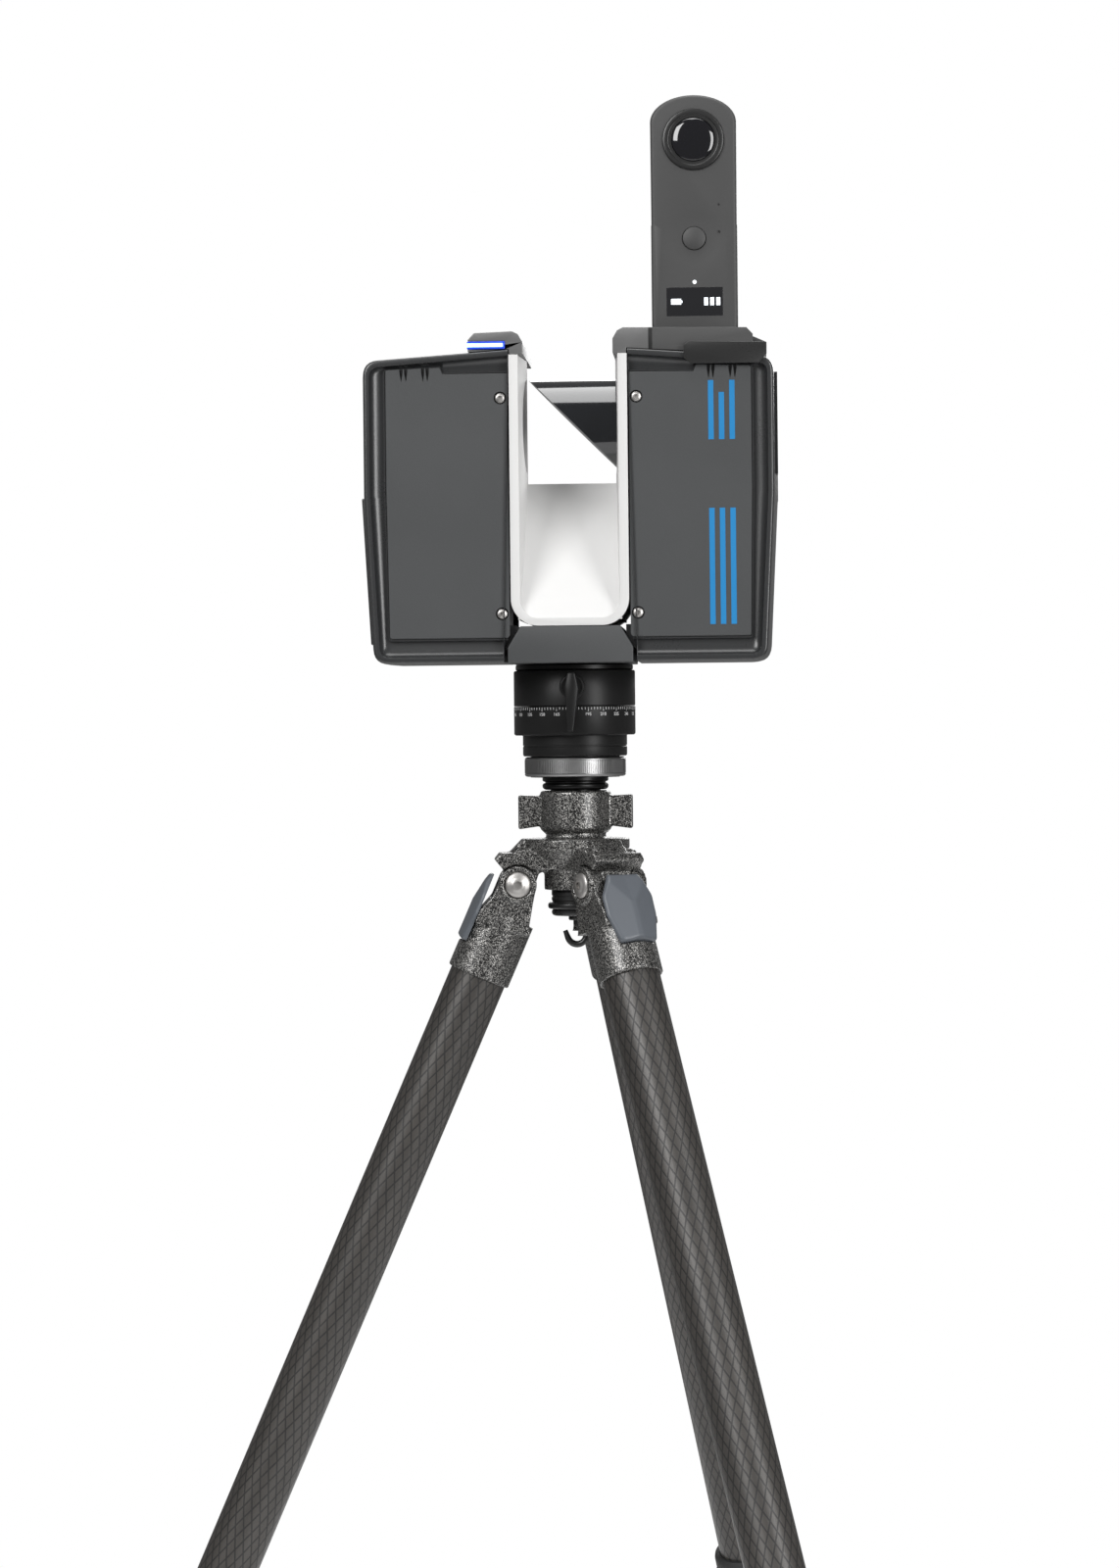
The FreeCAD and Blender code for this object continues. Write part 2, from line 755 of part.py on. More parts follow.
def centre_frame():
    """Silver U between the columns with its roof-shaped base; the mirror turns in the gap."""
    outer = prism("XZ_Plane", [
        (f"-{FRAME_SIDE}", "frame_low"),
        (FRAME_SIDE, "frame_low"),
        (FRAME_SIDE, "frame_top"),
        (f"-{FRAME_SIDE}", "frame_top"),
    ], f"-{DEPTH_HALF}", DEPTH_HALF)
    side = value(FRAME_SIDE)
    rounded(outer, "frame_corner", along("y", x=(-side, side), z=(value("frame_low"),)))
    gap = prism("XY_Plane", [
        ("-frame_gap / 2", f"-{DEPTH_HALF} - 1"),
        ("frame_gap / 2", f"-{DEPTH_HALF} - 1"),
        ("frame_gap_mid / 2", "0"),
        ("frame_gap / 2", f"{DEPTH_HALF} + 1"),
        ("-frame_gap / 2", f"{DEPTH_HALF} + 1"),
        ("-frame_gap_mid / 2", "0"),
    ], "frame_floor", "frame_top + 1")
    floor = value("frame_floor")
    rounded(gap, "frame_corner - 5", lambda edge: edge.CenterOfMass.z < floor + 0.01
            and abs(edge.CenterOfMass.y) < value(DEPTH_HALF) and abs(edge.CenterOfMass.x) > 20)
    ramp = prism("YZ_Plane", [
        (f"-{DEPTH_HALF} + 0.5", "frame_floor - 1"),
        (f"{DEPTH_HALF} - 0.5", "frame_floor - 1"),
        (f"{DEPTH_HALF} - 0.5", "frame_floor"),
        ("0", "ridge_height"),
        (f"-{DEPTH_HALF} + 0.5", "frame_floor"),
    ], "-frame_gap / 2 - 1", "frame_gap / 2 + 1")
    hollow = prism("YZ_Plane", [
        (f"-{DEPTH_HALF} + 14", "frame_low - 1"),
        (f"{DEPTH_HALF} - 14", "frame_low - 1"),
        ("0", "ridge_height - 14"),
    ], "-frame_gap / 2 + 8", "frame_gap / 2 - 8")
    window_hole = rod("window_radius", "-frame_width", "0", "x", ("0", "mirror_height"))
    mirror_hole = rod("mirror_radius + mirror_gap", "0", "frame_width", "x", ("0", "mirror_height"))
    return cut(fuse(cut(outer, gap), ramp), hollow, window_hole, mirror_hole)


def shell_outline(inset, inner):
    """Front outline of a column on the left, drawn in by an inset; inner is its inner side."""
    return [
        (f"-{inner}", f"shell_top_inner - {inset}"),
        (f"-scanner_width / 2 + 7 + {inset} / 2", f"shell_top_outer - {inset}"),
        (f"-scanner_width / 2 + 2 + {inset}", f"shell_top_outer - 2.5 - {inset}"),
        (f"-scanner_width / 2 + {inset}", f"shell_top_outer - 9 - {inset} / 2"),
        (f"-scanner_width / 2 + {inset}", "door_top"),
        (f"-scanner_width / 2 + 4.5 + {inset}", f"10 + {inset} / 2"),
        (f"-scanner_width / 2 + 6.5 + {inset}", f"3.5 + {inset}"),
        (f"-scanner_width / 2 + 11 + {inset} / 2", f"0.5 + {inset}"),
        (f"-cover_low_half - seam - {inner} + {SHELL_INNER}", f"0.5 + {inset}"),
        (f"-cover_low_half - seam - {inner} + {SHELL_INNER}", "cover_corner_z + 0.3"),
        (f"-{inner}", "frame_low - 7.5"),
    ]


def waist_outline(side):
    """Top outline of a column: its outer side draws in towards the front and the rear."""
    inner = f"{side} * 30"
    bulge = f"{side} * scanner_width / 2"
    waist = f"{side} * (scanner_width / 2 - side_draw)"
    points = [
        (inner, f"-{DEPTH_HALF}"),
        (waist, f"-{DEPTH_HALF}"),
        (bulge, "-0.2 * scanner_depth"),
        (bulge, "0.2 * scanner_depth"),
        (waist, DEPTH_HALF),
        (inner, DEPTH_HALF),
    ]
    return points if side > 0 else points[::-1]


def shell(side):
    """Hard outer case of one column, open to the front and rear for its panels."""
    outer_points = shell_outline("0", SHELL_INNER)
    inner_points = shell_outline("shell_wall", f"({SHELL_INNER} + boss_width)")
    if side > 0:
        outer_points = mirrored(outer_points)
        inner_points = mirrored(inner_points)
    block = prism("XZ_Plane", outer_points, f"-{DEPTH_HALF}", DEPTH_HALF)
    waist = prism("XY_Plane", waist_outline(side), "-1", "shell_top_inner + 1")
    cavity = prism("XZ_Plane", inner_points, f"-{DEPTH_HALF} - 1", f"{DEPTH_HALF} + 1")
    recess = panel_recess(side)
    return cut(common(block, waist), cavity, *recess, *screw_bores(side, "screw_shank", "20"))


def panel_recess(side):
    """Room for the front and rear panels where they lap over the inner boss."""
    near, far = f"{SHELL_INNER} + seam + 1", f"{SHELL_INNER} + boss_width + 1"
    low, high = ("panel_low - 3", "panel_top + 8")
    x_low, x_high = (near, far) if side > 0 else (f"-({far})", f"-({near})")
    front = box(x_low, x_high, f"-{DEPTH_HALF} - 1", f"-{DEPTH_HALF} + panel_face + panel_thick",
                low, high)
    rear = box(x_low, x_high, f"{DEPTH_HALF} - panel_face - panel_thick", f"{DEPTH_HALF} + 1",
               low, high)
    return front, rear


def screw_places(side):
    """Where the two screws of a panel go, in X and Z."""
    return [(f"{side} * screw_upper_x", "screw_upper_z"), (f"{side} * screw_lower_x", "screw_lower_z")]


def screw_bores(side, radius, depth):
    """Screw holes from the front and the rear, to a depth behind the case's faces."""
    bores = []
    for place in screw_places(side):
        bores.append(rod(radius, f"-{DEPTH_HALF} - 1", f"-{DEPTH_HALF} + {depth}", "y", place))
        bores.append(rod(radius, f"{DEPTH_HALF} - {depth}", f"{DEPTH_HALF} + 1", "y", place))
    return bores


def panel(side, end):
    """Removable panel: a flange behind, and the raised textured face."""
    flange_points = shell_outline("(shell_wall + seam)", f"({SHELL_INNER} + 1.4)")
    flange_points = flange_points[:8] + [
        (f"-cover_low_half - seam - 1.4", "panel_low - 2.6"),
        (f"-{SHELL_INNER} - 1.4", "panel_low + 3"),
    ]
    flange_points[0] = (f"-{SHELL_INNER} - 1.4", "panel_top + 6")
    flange_points[1] = ("-scanner_width / 2 + 9.5", "panel_tab_top - 0.2")
    flange_points[6] = ("-scanner_width / 2 + 11", "4.8 + shell_wall")
    flange_points[7] = ("-scanner_width / 2 + 15", "panel_low - 9")
    flange_points[8] = (f"-{SHELL_INNER} - boss_width - 2.4", "panel_low - 9")
    flange_points.insert(9, (f"-{SHELL_INNER} - boss_width - 2.4", "panel_low - 2.6"))
    flange_points.insert(10, ("-cover_low_half - 1.6", "panel_low - 2.6"))
    face_points = [
        (f"-{SHELL_INNER} - 1.4", "panel_top"),
        ("-panel_tab_inner", "panel_top"),
        ("-panel_tab_inner - 1.5", "panel_tab_top - 0.4"),
        ("-scanner_width / 2 + panel_margin", "panel_tab_top - 1.4"),
        ("-scanner_width / 2 + panel_margin", "door_top"),
        ("-scanner_width / 2 + panel_margin + 1.5", "panel_low"),
        ("-cover_low_half - 1.6", "panel_low"),
        (f"-{SHELL_INNER} - 1.4", "panel_low + 3"),
    ]
    if side > 0:
        flange_points = mirrored(flange_points)
        face_points = mirrored(face_points)
    levels = ["panel_face", "panel_face + panel_thick - panel_flange", "panel_face + panel_thick"]
    face_y, step_y, back_y = [f"{DEPTH_HALF} - ({level})" for level in levels]
    if end < 0:
        flange = prism("XZ_Plane", flange_points, f"-({step_y})", f"-({back_y})")
        face = prism("XZ_Plane", face_points, f"-({face_y})", f"-({step_y})")
    else:
        flange = prism("XZ_Plane", flange_points, back_y, step_y)
        face = prism("XZ_Plane", face_points, step_y, face_y)
    sunk = f"{DEPTH_HALF} - panel_face - 2.5"
    tools = []
    for place in screw_places(side):
        for radius, depth in (("screw_radius", sunk), ("screw_shank", f"{back_y} - 1")):
            low, high = (f"-{DEPTH_HALF}", f"-({depth})") if end < 0 else (depth, DEPTH_HALF)
            tools.append(rod(radius, low, high, "y", place))
    return cut(fuse(flange, face), *tools)


def panel_screw(side, place, end):
    """Button-head screw with its shank."""
    sunk = f"({DEPTH_HALF} - panel_face - 2.5)"
    tip = f"({DEPTH_HALF} - 18)"
    top = f"({DEPTH_HALF} - panel_face + 0.2)"
    if end < 0:
        return fuse(rod("screw_radius", f"-{top}", f"-{sunk}", "y", place),
                    rod("screw_shank", f"-{sunk}", f"-{tip}", "y", place))
    return fuse(rod("screw_radius", sunk, top, "y", place),
                rod("screw_shank", tip, sunk, "y", place))


def mirror():
    """Barrel cut off at 45 degrees, with its shaft into the motor."""
    barrel = rod("mirror_radius", "-mirror_tip", "frame_width / 2 + 4", "x")
    reach = "2 * mirror_radius"
    wedge = prism("XZ_Plane", [
        ("-mirror_tip - 6", "mirror_radius + 6"),
        ("-mirror_tip - 6", f"-{reach}"),
        (f"-mirror_tip + {reach} + mirror_radius", f"-{reach}"),
    ], "-2 * mirror_radius", "2 * mirror_radius")
    shaft = rod("shaft_radius", "frame_width / 2 + 3", "74", "x")
    return fuse(cut(barrel, wedge), shaft)


def mirror_motor():
    """Motor round the mirror's shaft, with its foot on the case's inner boss."""
    seat = f"{SHELL_INNER} + boss_width"
    can = rod("24", seat, "72", "x", ("0", "mirror_height"))
    flange = rod("30", seat, f"{seat} + 3", "x", ("0", "mirror_height"))
    bore = rod("shaft_radius + pin_clearance", "30", "76", "x", ("0", "mirror_height"))
    return cut(fuse(can, flange), bore)


def case_top(distance):
    """Height of a column's sloping top at a distance from the middle."""
    slope = "((shell_top_inner - shell_top_outer) / (scanner_width / 2 - 7 - frame_width / 2))"
    return f"(shell_top_inner - ({distance} - {SHELL_INNER}) * {slope})"


def column_cap(side, reach, top):
    """Rounded cap over the inner end of a column's top, following the case's slope."""
    points = [
        ("-frame_gap_mid / 2", "frame_top + seam"),
        (f"-{SHELL_INNER} + 2 * seam", "frame_top + seam"),
        (f"-{SHELL_INNER} + 2 * seam", "shell_top_inner + seam"),
        (f"-{reach}", f"{case_top(reach)} + seam"),
        (f"-{reach}", f"{top} - 4.5"),
        (f"-{reach} + 3.5", f"{top} - 0.8"),
        ("-frame_gap / 2 - 3", top),
        ("-frame_gap / 2 + 0.2", f"{top} - 1.6"),
        ("-frame_gap_mid / 2", f"{top} - 6"),
    ]
    if side > 0:
        points = mirrored(points)
    return prism("XZ_Plane", points, f"-{DEPTH_HALF} + 1", f"{DEPTH_HALF} - 1")


def light_bar():
    """The status light's bar, wrapping the cap's front corner."""
    return box("-cap_reach - 0.4", "-light_reach", f"-{DEPTH_HALF} + 0.6", "-0.22 * scanner_depth",
               "light_low", "light_high")


def battery():
    """Battery block behind its door."""
    return box("-scanner_width / 2 + 12", "-scanner_width / 2 + 40", "-door_half + 3", "door_half - 3",
               "door_low + 0.5", "door_top - 8")


def side_outline(low, high, outer, inner):
    """Slice of the left column's sloping side between two heights, in X and Z."""
    def side_x(height, inset):
        return f"-scanner_width / 2 + 4.5 * (door_top - ({height})) / (door_top - 10) + {inset}"
    return [
        (side_x(low, outer), low),
        (side_x(high, outer), high),
        (side_x(high, inner), high),
        (side_x(low, inner), low),
    ][::-1]


def battery_door():
    """Door in the left column's side, hinged along its lower edge."""
    return prism("XZ_Plane", side_outline("door_low", "door_top - 1", "0", "door_thick"),
                 "-door_half", "door_half")


def touch_screen():
    """Glass screen let into the right column's side."""
    side = "scanner_width / 2"
    return box(f"{side} - screen_thick", side, "-screen_half", "screen_half", "screen_low", "screen_top")


def power_button():
    """Round push button beside the screen."""
    side = "scanner_width / 2"
    return rod("power_radius", f"{side} - 4.5", f"{side} + 0.4", "x", ("power_offset", "power_height"))


def circuit_board():
    """Main board on four standoffs, with its two shielded modules."""
    seat = f"{SHELL_INNER} + boss_width"
    board = f"{seat} + 4"
    standoffs = [rod("3", seat, board, "x", (y, z)) for y in ("-34", "34") for z in ("20", "88")]
    return fuse(
        box(board, f"{board} + 2", "-40", "40", "13", "96"),
        box(f"{board} + 2", f"{board} + 8", "-28", "-4", "24", "60"),
        box(f"{board} + 2", f"{board} + 7", "6", "30", "36", "80"),
        *standoffs,
    )


def laser_unit():
    """Laser rangefinder tube behind the window."""
    barrel = rod("20", "-88", f"-{FRAME_SIDE} + 1", "x", ("0", "mirror_height"))
    housing = box("-92", f"-{SHELL_INNER} - boss_width", "-30", "30", "mirror_height - 30",
                  "mirror_height + 27")
    return fuse(barrel, housing)


def camera_mount():
    """Cap and bracket on the right column, with the camera's screw and the front plate."""
    reach = "(camera_offset + camera_width / 2 + 8)"
    cap = column_cap(1, reach, "mount_top")
    tail = prism("XZ_Plane", [
        (reach, f"{case_top(reach)} + 0.9"),
        (f"{reach} + 6.5", f"{case_top(reach)} + 0.6"),
        (f"{reach} + 7.5", f"{case_top(reach)} + 2.6"),
        (f"{reach} + 7.5", "shell_top_outer + 9"),
        (reach, "mount_top - 4"),
    ], "-30", "30")
    plate = prism("XZ_Plane", [
        ("camera_offset - 2", "panel_tab_top"),
        (f"{reach} + 3", "panel_tab_top"),
        (f"{reach} + 7.5", "panel_tab_top + 5"),
        (f"{reach} + 7.5", "shell_top_outer + 7"),
        ("camera_offset - 3", "shell_top_outer + 8"),
        ("camera_offset - 6", "shell_top_outer + 6"),
        ("camera_offset - 6", "panel_tab_top + 3"),
    ], f"-{DEPTH_HALF} - 2.6", f"-{DEPTH_HALF} - seam")
    bridge = box("camera_offset - 2", f"{reach} + 5", f"-{DEPTH_HALF} - 1", "-25",
                 f"{case_top('(camera_offset - 2)')} + 0.4", "shell_top_outer + 7")
    stop = box(f"{reach} - 7.5", f"{reach} - 1", "-9", "9", "mount_top - 5", "mount_top")
    screw = rod("3.05", "mount_top - 5", "mount_top + 7", "z", ("camera_offset", "0"))
    return fuse(cap, tail, plate, bridge, stop, screw)


def camera_body():
    """Upright case with an arched top."""
    half = "camera_width / 2"
    case = prism("XZ_Plane", [
        (f"-{half}", "0"),
        (half, "0"),
        (half, "camera_height - 13.5"),
        ("0.36 * camera_width", "camera_height - 3.5"),
        ("0.12 * camera_width", "camera_height"),
        ("-0.12 * camera_width", "camera_height"),
        ("-0.36 * camera_width", "camera_height - 3.5"),
        (f"-{half}", "camera_height - 13.5"),
    ], "-camera_depth / 2", "camera_depth / 2")
    width = value(half)
    rounded(case, "5", along("z", x=(-width, width)))
    button_room = rod("shutter_radius + pin_clearance", "-camera_depth", "-camera_depth / 2 + 2.5", "y",
                      ("0", "shutter_height"))
    screw_room = rod("3.1", "-1", "8")
    return cut(case, button_room, screw_room)


def camera_lens(end):
    """Bezel and bulging lens on one face of the camera."""
    lens = turned([
        ("0", "0"),
        ("bezel_radius", "0"),
        ("bezel_radius - 1.2", "bezel_proud"),
        ("lens_radius", "bezel_proud - 0.6"),
        ("0.82 * lens_radius", "0.72 * lens_proud"),
        ("0.5 * lens_radius", "0.93 * lens_proud"),
        ("0", "lens_proud"),
    ])
    lens.Placement.Rotation = FreeCAD.Rotation(X_AXIS, -90 * end)
    return bind(lens, Placement__Base__y=f"{end} * camera_depth / 2", Placement__Base__z="lens_height")


def camera_button():
    """Round shutter button."""
    return rod("shutter_radius", "-camera_depth / 2 - 0.3", "-camera_depth / 2 + 1.6", "y",
               ("0", "shutter_height"))


def left_shell():
    """Left case, open for the battery door and the laser."""
    room = prism("XZ_Plane", side_outline("door_low - seam", "door_top - 1 + seam", "-3", "shell_wall + 9"),
                 "-door_half - seam", "door_half + seam")
    tray = box("-scanner_width / 2 + 10", "-scanner_width / 2 + 42", "-door_half + 3", "door_half - 3",
               "0.5 + shell_wall - 1", "door_low + 0.2")
    return fuse(cut(shell(-1), room, rod("window_radius", "-60", "-30", "x", ("0", "mirror_height"))), tray)


def right_shell():
    """Right case, with the screen's recess, the button's hole and the mirror's passage."""
    side = "scanner_width / 2"
    recess = box(f"{side} - screen_thick", f"{side} + 3", "-screen_half", "screen_half",
                 "screen_low", "screen_top")
    button_hole = rod("power_radius + pin_clearance", f"{side} - 9", f"{side} + 3", "x",
                      ("power_offset", "power_height"))
    passage = rod("mirror_radius + mirror_gap", "30", "60", "x", ("0", "mirror_height"))
    return cut(shell(1), recess, button_hole, passage)


at_scanner = lifted(SCANNER_BASE)
at_mirror = lifted(f"({SCANNER_BASE} + mirror_height)")
at_camera = f"placement(vector(camera_offset; 0; {CAMERA_BASE}); rotation(0; 0; 0))"
housing = column_cap(-1, "cap_reach", "cap_top")

sub_part(centre_cover(), "centre_cover", at_scanner)
sub_part(centre_frame(), "centre_frame", at_scanner)
sub_part(left_shell(), "left_shell", at_scanner)
sub_part(right_shell(), "right_shell", at_scanner)
for side, side_name in ((-1, "left"), (1, "right")):
    for end, end_name in ((-1, "front"), (1, "rear")):
        sub_part(panel(side, end), f"{side_name}_{end_name}_panel", at_scanner)
group("panel_screws", [panel_screw(side, place, end) for side in (-1, 1) for end in (-1, 1)
                       for place in screw_places(side)], at_scanner)
sub_part(mirror(), "mirror", at_mirror)
sub_part(mirror_motor(), "mirror_motor", at_scanner)
raised(sub_part(rod("window_radius", f"-{FRAME_SIDE} + 1", f"-{FRAME_SIDE} + 1 + window_thick", "x",
                    ("0", "mirror_height")), "laser_window"), f"{SCANNER_BASE} + mirror_height")
sub_part(laser_unit(), "laser_unit", at_scanner)
sub_part(cut(housing, light_bar()), "light_housing", at_scanner)
raised(sub_part(light_bar(), "status_light"), f"{SCANNER_BASE} + light_low")
raised(sub_part(battery(), "battery"), f"{SCANNER_BASE} + door_low + 0.5")
sub_part(battery_door(), "battery_door", at_scanner)
raised(sub_part(touch_screen(), "touch_screen"), f"{SCANNER_BASE} + screen_low")
raised(sub_part(power_button(), "power_button"), f"{SCANNER_BASE} + power_height")
sub_part(circuit_board(), "circuit_board", at_scanner)
sub_part(camera_mount(), "camera_mount", at_scanner)
sub_part(camera_body(), "camera_body", at_camera)
group("camera_lenses", [camera_lens(-1), camera_lens(1)], at_camera)
raised(bind(sub_part(camera_button(), "camera_button"), Placement__Base__x="camera_offset"),
       f"{CAMERA_BASE} + shutter_height")


# --- checks and export ------------------------------------------------------------------

DOC.recompute()
for item in DOC.Objects:
    if "Invalid" in item.State or "Error" in item.State:
        raise RuntimeError(f"{item.Label} ({item.Name}) did not build: {item.State}")
for piece in SUB_PARTS:
    if piece.Shape.isNull() or not piece.Shape.isValid() or not piece.Shape.Solids:
        raise RuntimeError(f"{piece.Label} has no valid solid")

os.makedirs("parts", exist_ok=True)
for piece in SUB_PARTS:
    piece.Shape.exportStep(f"parts/{piece.Label}.step")
print(f"{len(SUB_PARTS)} sub-parts, scanner base at {value(SCANNER_BASE):.2f} mm")
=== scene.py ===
import json
import math

import bmesh
import bpy
from mathutils import Matrix, Vector


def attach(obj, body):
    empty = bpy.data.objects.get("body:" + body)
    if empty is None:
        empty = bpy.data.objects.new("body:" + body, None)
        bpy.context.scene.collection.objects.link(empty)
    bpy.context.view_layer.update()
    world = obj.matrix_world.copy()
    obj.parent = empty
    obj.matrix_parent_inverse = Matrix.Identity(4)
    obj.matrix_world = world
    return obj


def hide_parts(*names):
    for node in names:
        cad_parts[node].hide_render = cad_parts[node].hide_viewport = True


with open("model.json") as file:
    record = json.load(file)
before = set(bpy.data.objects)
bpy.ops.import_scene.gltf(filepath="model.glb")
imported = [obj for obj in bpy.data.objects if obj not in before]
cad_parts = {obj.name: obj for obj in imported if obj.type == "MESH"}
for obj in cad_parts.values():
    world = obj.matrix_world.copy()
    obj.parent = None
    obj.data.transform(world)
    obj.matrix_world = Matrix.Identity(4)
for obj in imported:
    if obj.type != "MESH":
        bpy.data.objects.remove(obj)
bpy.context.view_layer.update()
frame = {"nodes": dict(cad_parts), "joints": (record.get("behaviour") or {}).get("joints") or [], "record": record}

MM = 0.001
RECORD = frame["record"]
JOINTS = {joint["name"]: joint for joint in frame["joints"]}
BODY_OF = {node: body for body, nodes in RECORD["behaviour"]["bodies"].items() for node in nodes}


# --- materials ---------------------------------------------------------------------------

class Value:
    """A number socket that takes part in sums, products and comparisons."""

    def __init__(self, shader, socket):
        self.shader = shader
        self.socket = socket

    def _maths(self, operation, *terms):
        sockets = {index: term for index, term in enumerate(terms)}
        return self.shader.add("ShaderNodeMath", {"operation": operation}, sockets)

    def __add__(self, other):
        return self._maths("ADD", self, other)

    __radd__ = __add__

    def __mul__(self, other):
        return self._maths("MULTIPLY", self, other)

    __rmul__ = __mul__

    def __sub__(self, other):
        return self._maths("SUBTRACT", self, other)

    def __rsub__(self, other):
        return self._maths("SUBTRACT", other, self)

    def __truediv__(self, other):
        return self._maths("DIVIDE", self, other)

    def __pow__(self, other):
        return self._maths("POWER", self, other)

    def __gt__(self, other):
        return self._maths("GREATER_THAN", self, other)

    def __lt__(self, other):
        return self._maths("LESS_THAN", self, other)

    def maths(self, operation, *others):
        """Any other operation of a Math node, such as SINE or ABSOLUTE."""
        return self._maths(operation, self, *others)


class Shader:
    """A material's node tree with one Principled surface."""

    def __init__(self, name):
        self.material = bpy.data.materials.new(name)
        self.material.use_nodes = True
        self.tree = self.material.node_tree
        self.surface = self.tree.nodes["Principled BSDF"]

    def put(self, socket, value):
        """Link a socket, or set its own value."""
        if isinstance(value, Value):
            self.tree.links.new(value.socket, socket)
        elif isinstance(value, bpy.types.NodeSocket):
            self.tree.links.new(value, socket)
        else:
            socket.default_value = value

    def add(self, kind, settings=None, sockets=None, output=0):
        """Any node: its settings first, then its sockets' values or links."""
        node = self.tree.nodes.new(kind)
        for name, value in (settings or {}).items():
            if name == "stops":
                self._stops(node.color_ramp, value)
            else:
                setattr(node, name, value)
        for name, value in (sockets or {}).items():
            self.put(node.inputs[name], value)
        return Value(self, node.outputs[output])

    @staticmethod
    def _stops(ramp, stops):
        while len(ramp.elements) < len(stops):
            ramp.elements.new(1.0)
        for element, (place, colour) in zip(ramp.elements, stops):
            element.position = place
            element.color = colour

    def place(self, attribute=None):
        """Where on the piece: object coordinates, or a vector attribute of the mesh."""
        if attribute:
            return self.add("ShaderNodeAttribute", {"attribute_name": attribute}, output="Vector")
        return self.add("ShaderNodeTexCoord", output="Object")

    def mapped(self, where, scale=(1, 1, 1), turn=(0, 0, 0), shift=(0, 0, 0)):
        """The place scaled, turned and shifted."""
        return self.add("ShaderNodeMapping", None,
                        {"Vector": where, "Scale": scale, "Rotation": turn, "Location": shift})

    def axis(self, where, name):
        """One coordinate of a place."""
        return self.add("ShaderNodeSeparateXYZ", None, {0: where}, output=name.upper())

    def noise(self, where, scale, detail=2.0, roughness=0.5):
        """Cloudy noise from 0 to 1."""
        return self.add("ShaderNodeTexNoise", None,
                        {"Vector": where, "Scale": scale, "Detail": detail, "Roughness": roughness})

    def ramp(self, factor, *stops):
        """Grey or coloured steps along a factor; a stop is a place and a grey or a colour."""
        colours = [(place, shade if isinstance(shade, tuple) else (shade, shade, shade, 1))
                   for place, shade in stops]
        return self.add("ShaderNodeValToRGB", {"stops": colours}, {"Fac": factor})

    def mix(self, factor, first, second):
        """Blend two colours."""
        return self.add("ShaderNodeMix", {"data_type": "RGBA"}, {0: factor, 6: first, 7: second}, output=2)

    def bump(self, height, strength, distance, under=None):
        """A bumped normal from a height."""
        sockets = {"Height": height, "Strength": strength, "Distance": distance}
        if under:
            sockets["Normal"] = under
        return self.add("ShaderNodeBump", None, sockets)

    def finish(self, **inputs):
        """Set the surface's sockets; an underscore stands for a space."""
        for name, value in inputs.items():
            self.put(self.surface.inputs[name.replace("_", " ")], value)
        return self.material


def grey(level, tint=(1.0, 1.0, 1.0)):
    """A colour with its alpha."""
    return (level * tint[0], level * tint[1], level * tint[2], 1.0)


def hammertone():
    """Hammered enamel: dark hollows between bright metallic flecks."""
    shader = Shader("hammertone_enamel")
    where = shader.place()
    bend = shader.noise(where, 800, 2.0, 0.55)
    flecks = shader.noise(where, 1750, 1.5, 0.5)
    bright = shader.ramp(flecks * 0.7 + bend * 0.3, (0.47, 0.0), (0.53, 0.30), (0.58, 1.0))
    colour = shader.mix(bright, grey(0.008), grey(0.40, (1.0, 0.98, 0.94)))
    height = flecks * 0.8 + bend * 0.4
    return shader.finish(
        Base_Color=colour,
        Metallic=bright * 0.55 + 0.25,
        Roughness=bright * 0.12 + 0.24,
        Normal=shader.bump(height, 0.75, 0.00035),
        Coat_Weight=0.35,
        Coat_Roughness=0.12,
    )


def carbon_tube(radius):
    """Wound carbon fibre under lacquer: crossing helical bands that follow the tube."""
    shader = Shader(f"wound_carbon_{round(radius / MM)}")
    where = shader.place("leg_space")
    across = shader.axis(where, "y").maths("ARCTAN2", shader.axis(where, "x")) * radius
    along = shader.axis(where, "z")
    pitch = math.tau * radius / round(1.25 * radius / MM)
    lean = 0.42
    waver = (shader.noise(where, 60, 2.0) - 0.5) * 0.0009
    right = ((across + along * lean + waver) * (math.tau / pitch)).maths("SINE")
    left = ((across - along * lean - waver) * (math.tau / pitch)).maths("SINE")
    lattice = right.maths("MAXIMUM", left)
    edges = shader.ramp(lattice, (0.72, 0.0), (0.96, 1.0))
    threads = shader.noise(shader.mapped(where, (1500, 1500, 70)), 1.0, 2.0, 0.6)
    clouds = shader.noise(shader.mapped(where, (90, 90, 22)), 1.0, 3.0, 0.55)
    base = shader.mix(clouds, grey(0.030, (1.0, 0.91, 0.83)), grey(0.085, (1.0, 0.90, 0.81)))
    woven = shader.mix(edges * 0.95, base, grey(0.004))
    colour = shader.mix(threads * 0.35, woven, grey(0.03, (1.0, 0.95, 0.9)))
    return shader.finish(
        Base_Color=colour,
        Metallic=0.12,
        Roughness=threads * 0.16 + edges * 0.14 + 0.33,
        Normal=shader.bump(threads * 0.25 - edges * 0.5, 0.22, 0.0003),
        Coat_Weight=0.35,
        Coat_Roughness=0.36,
    )


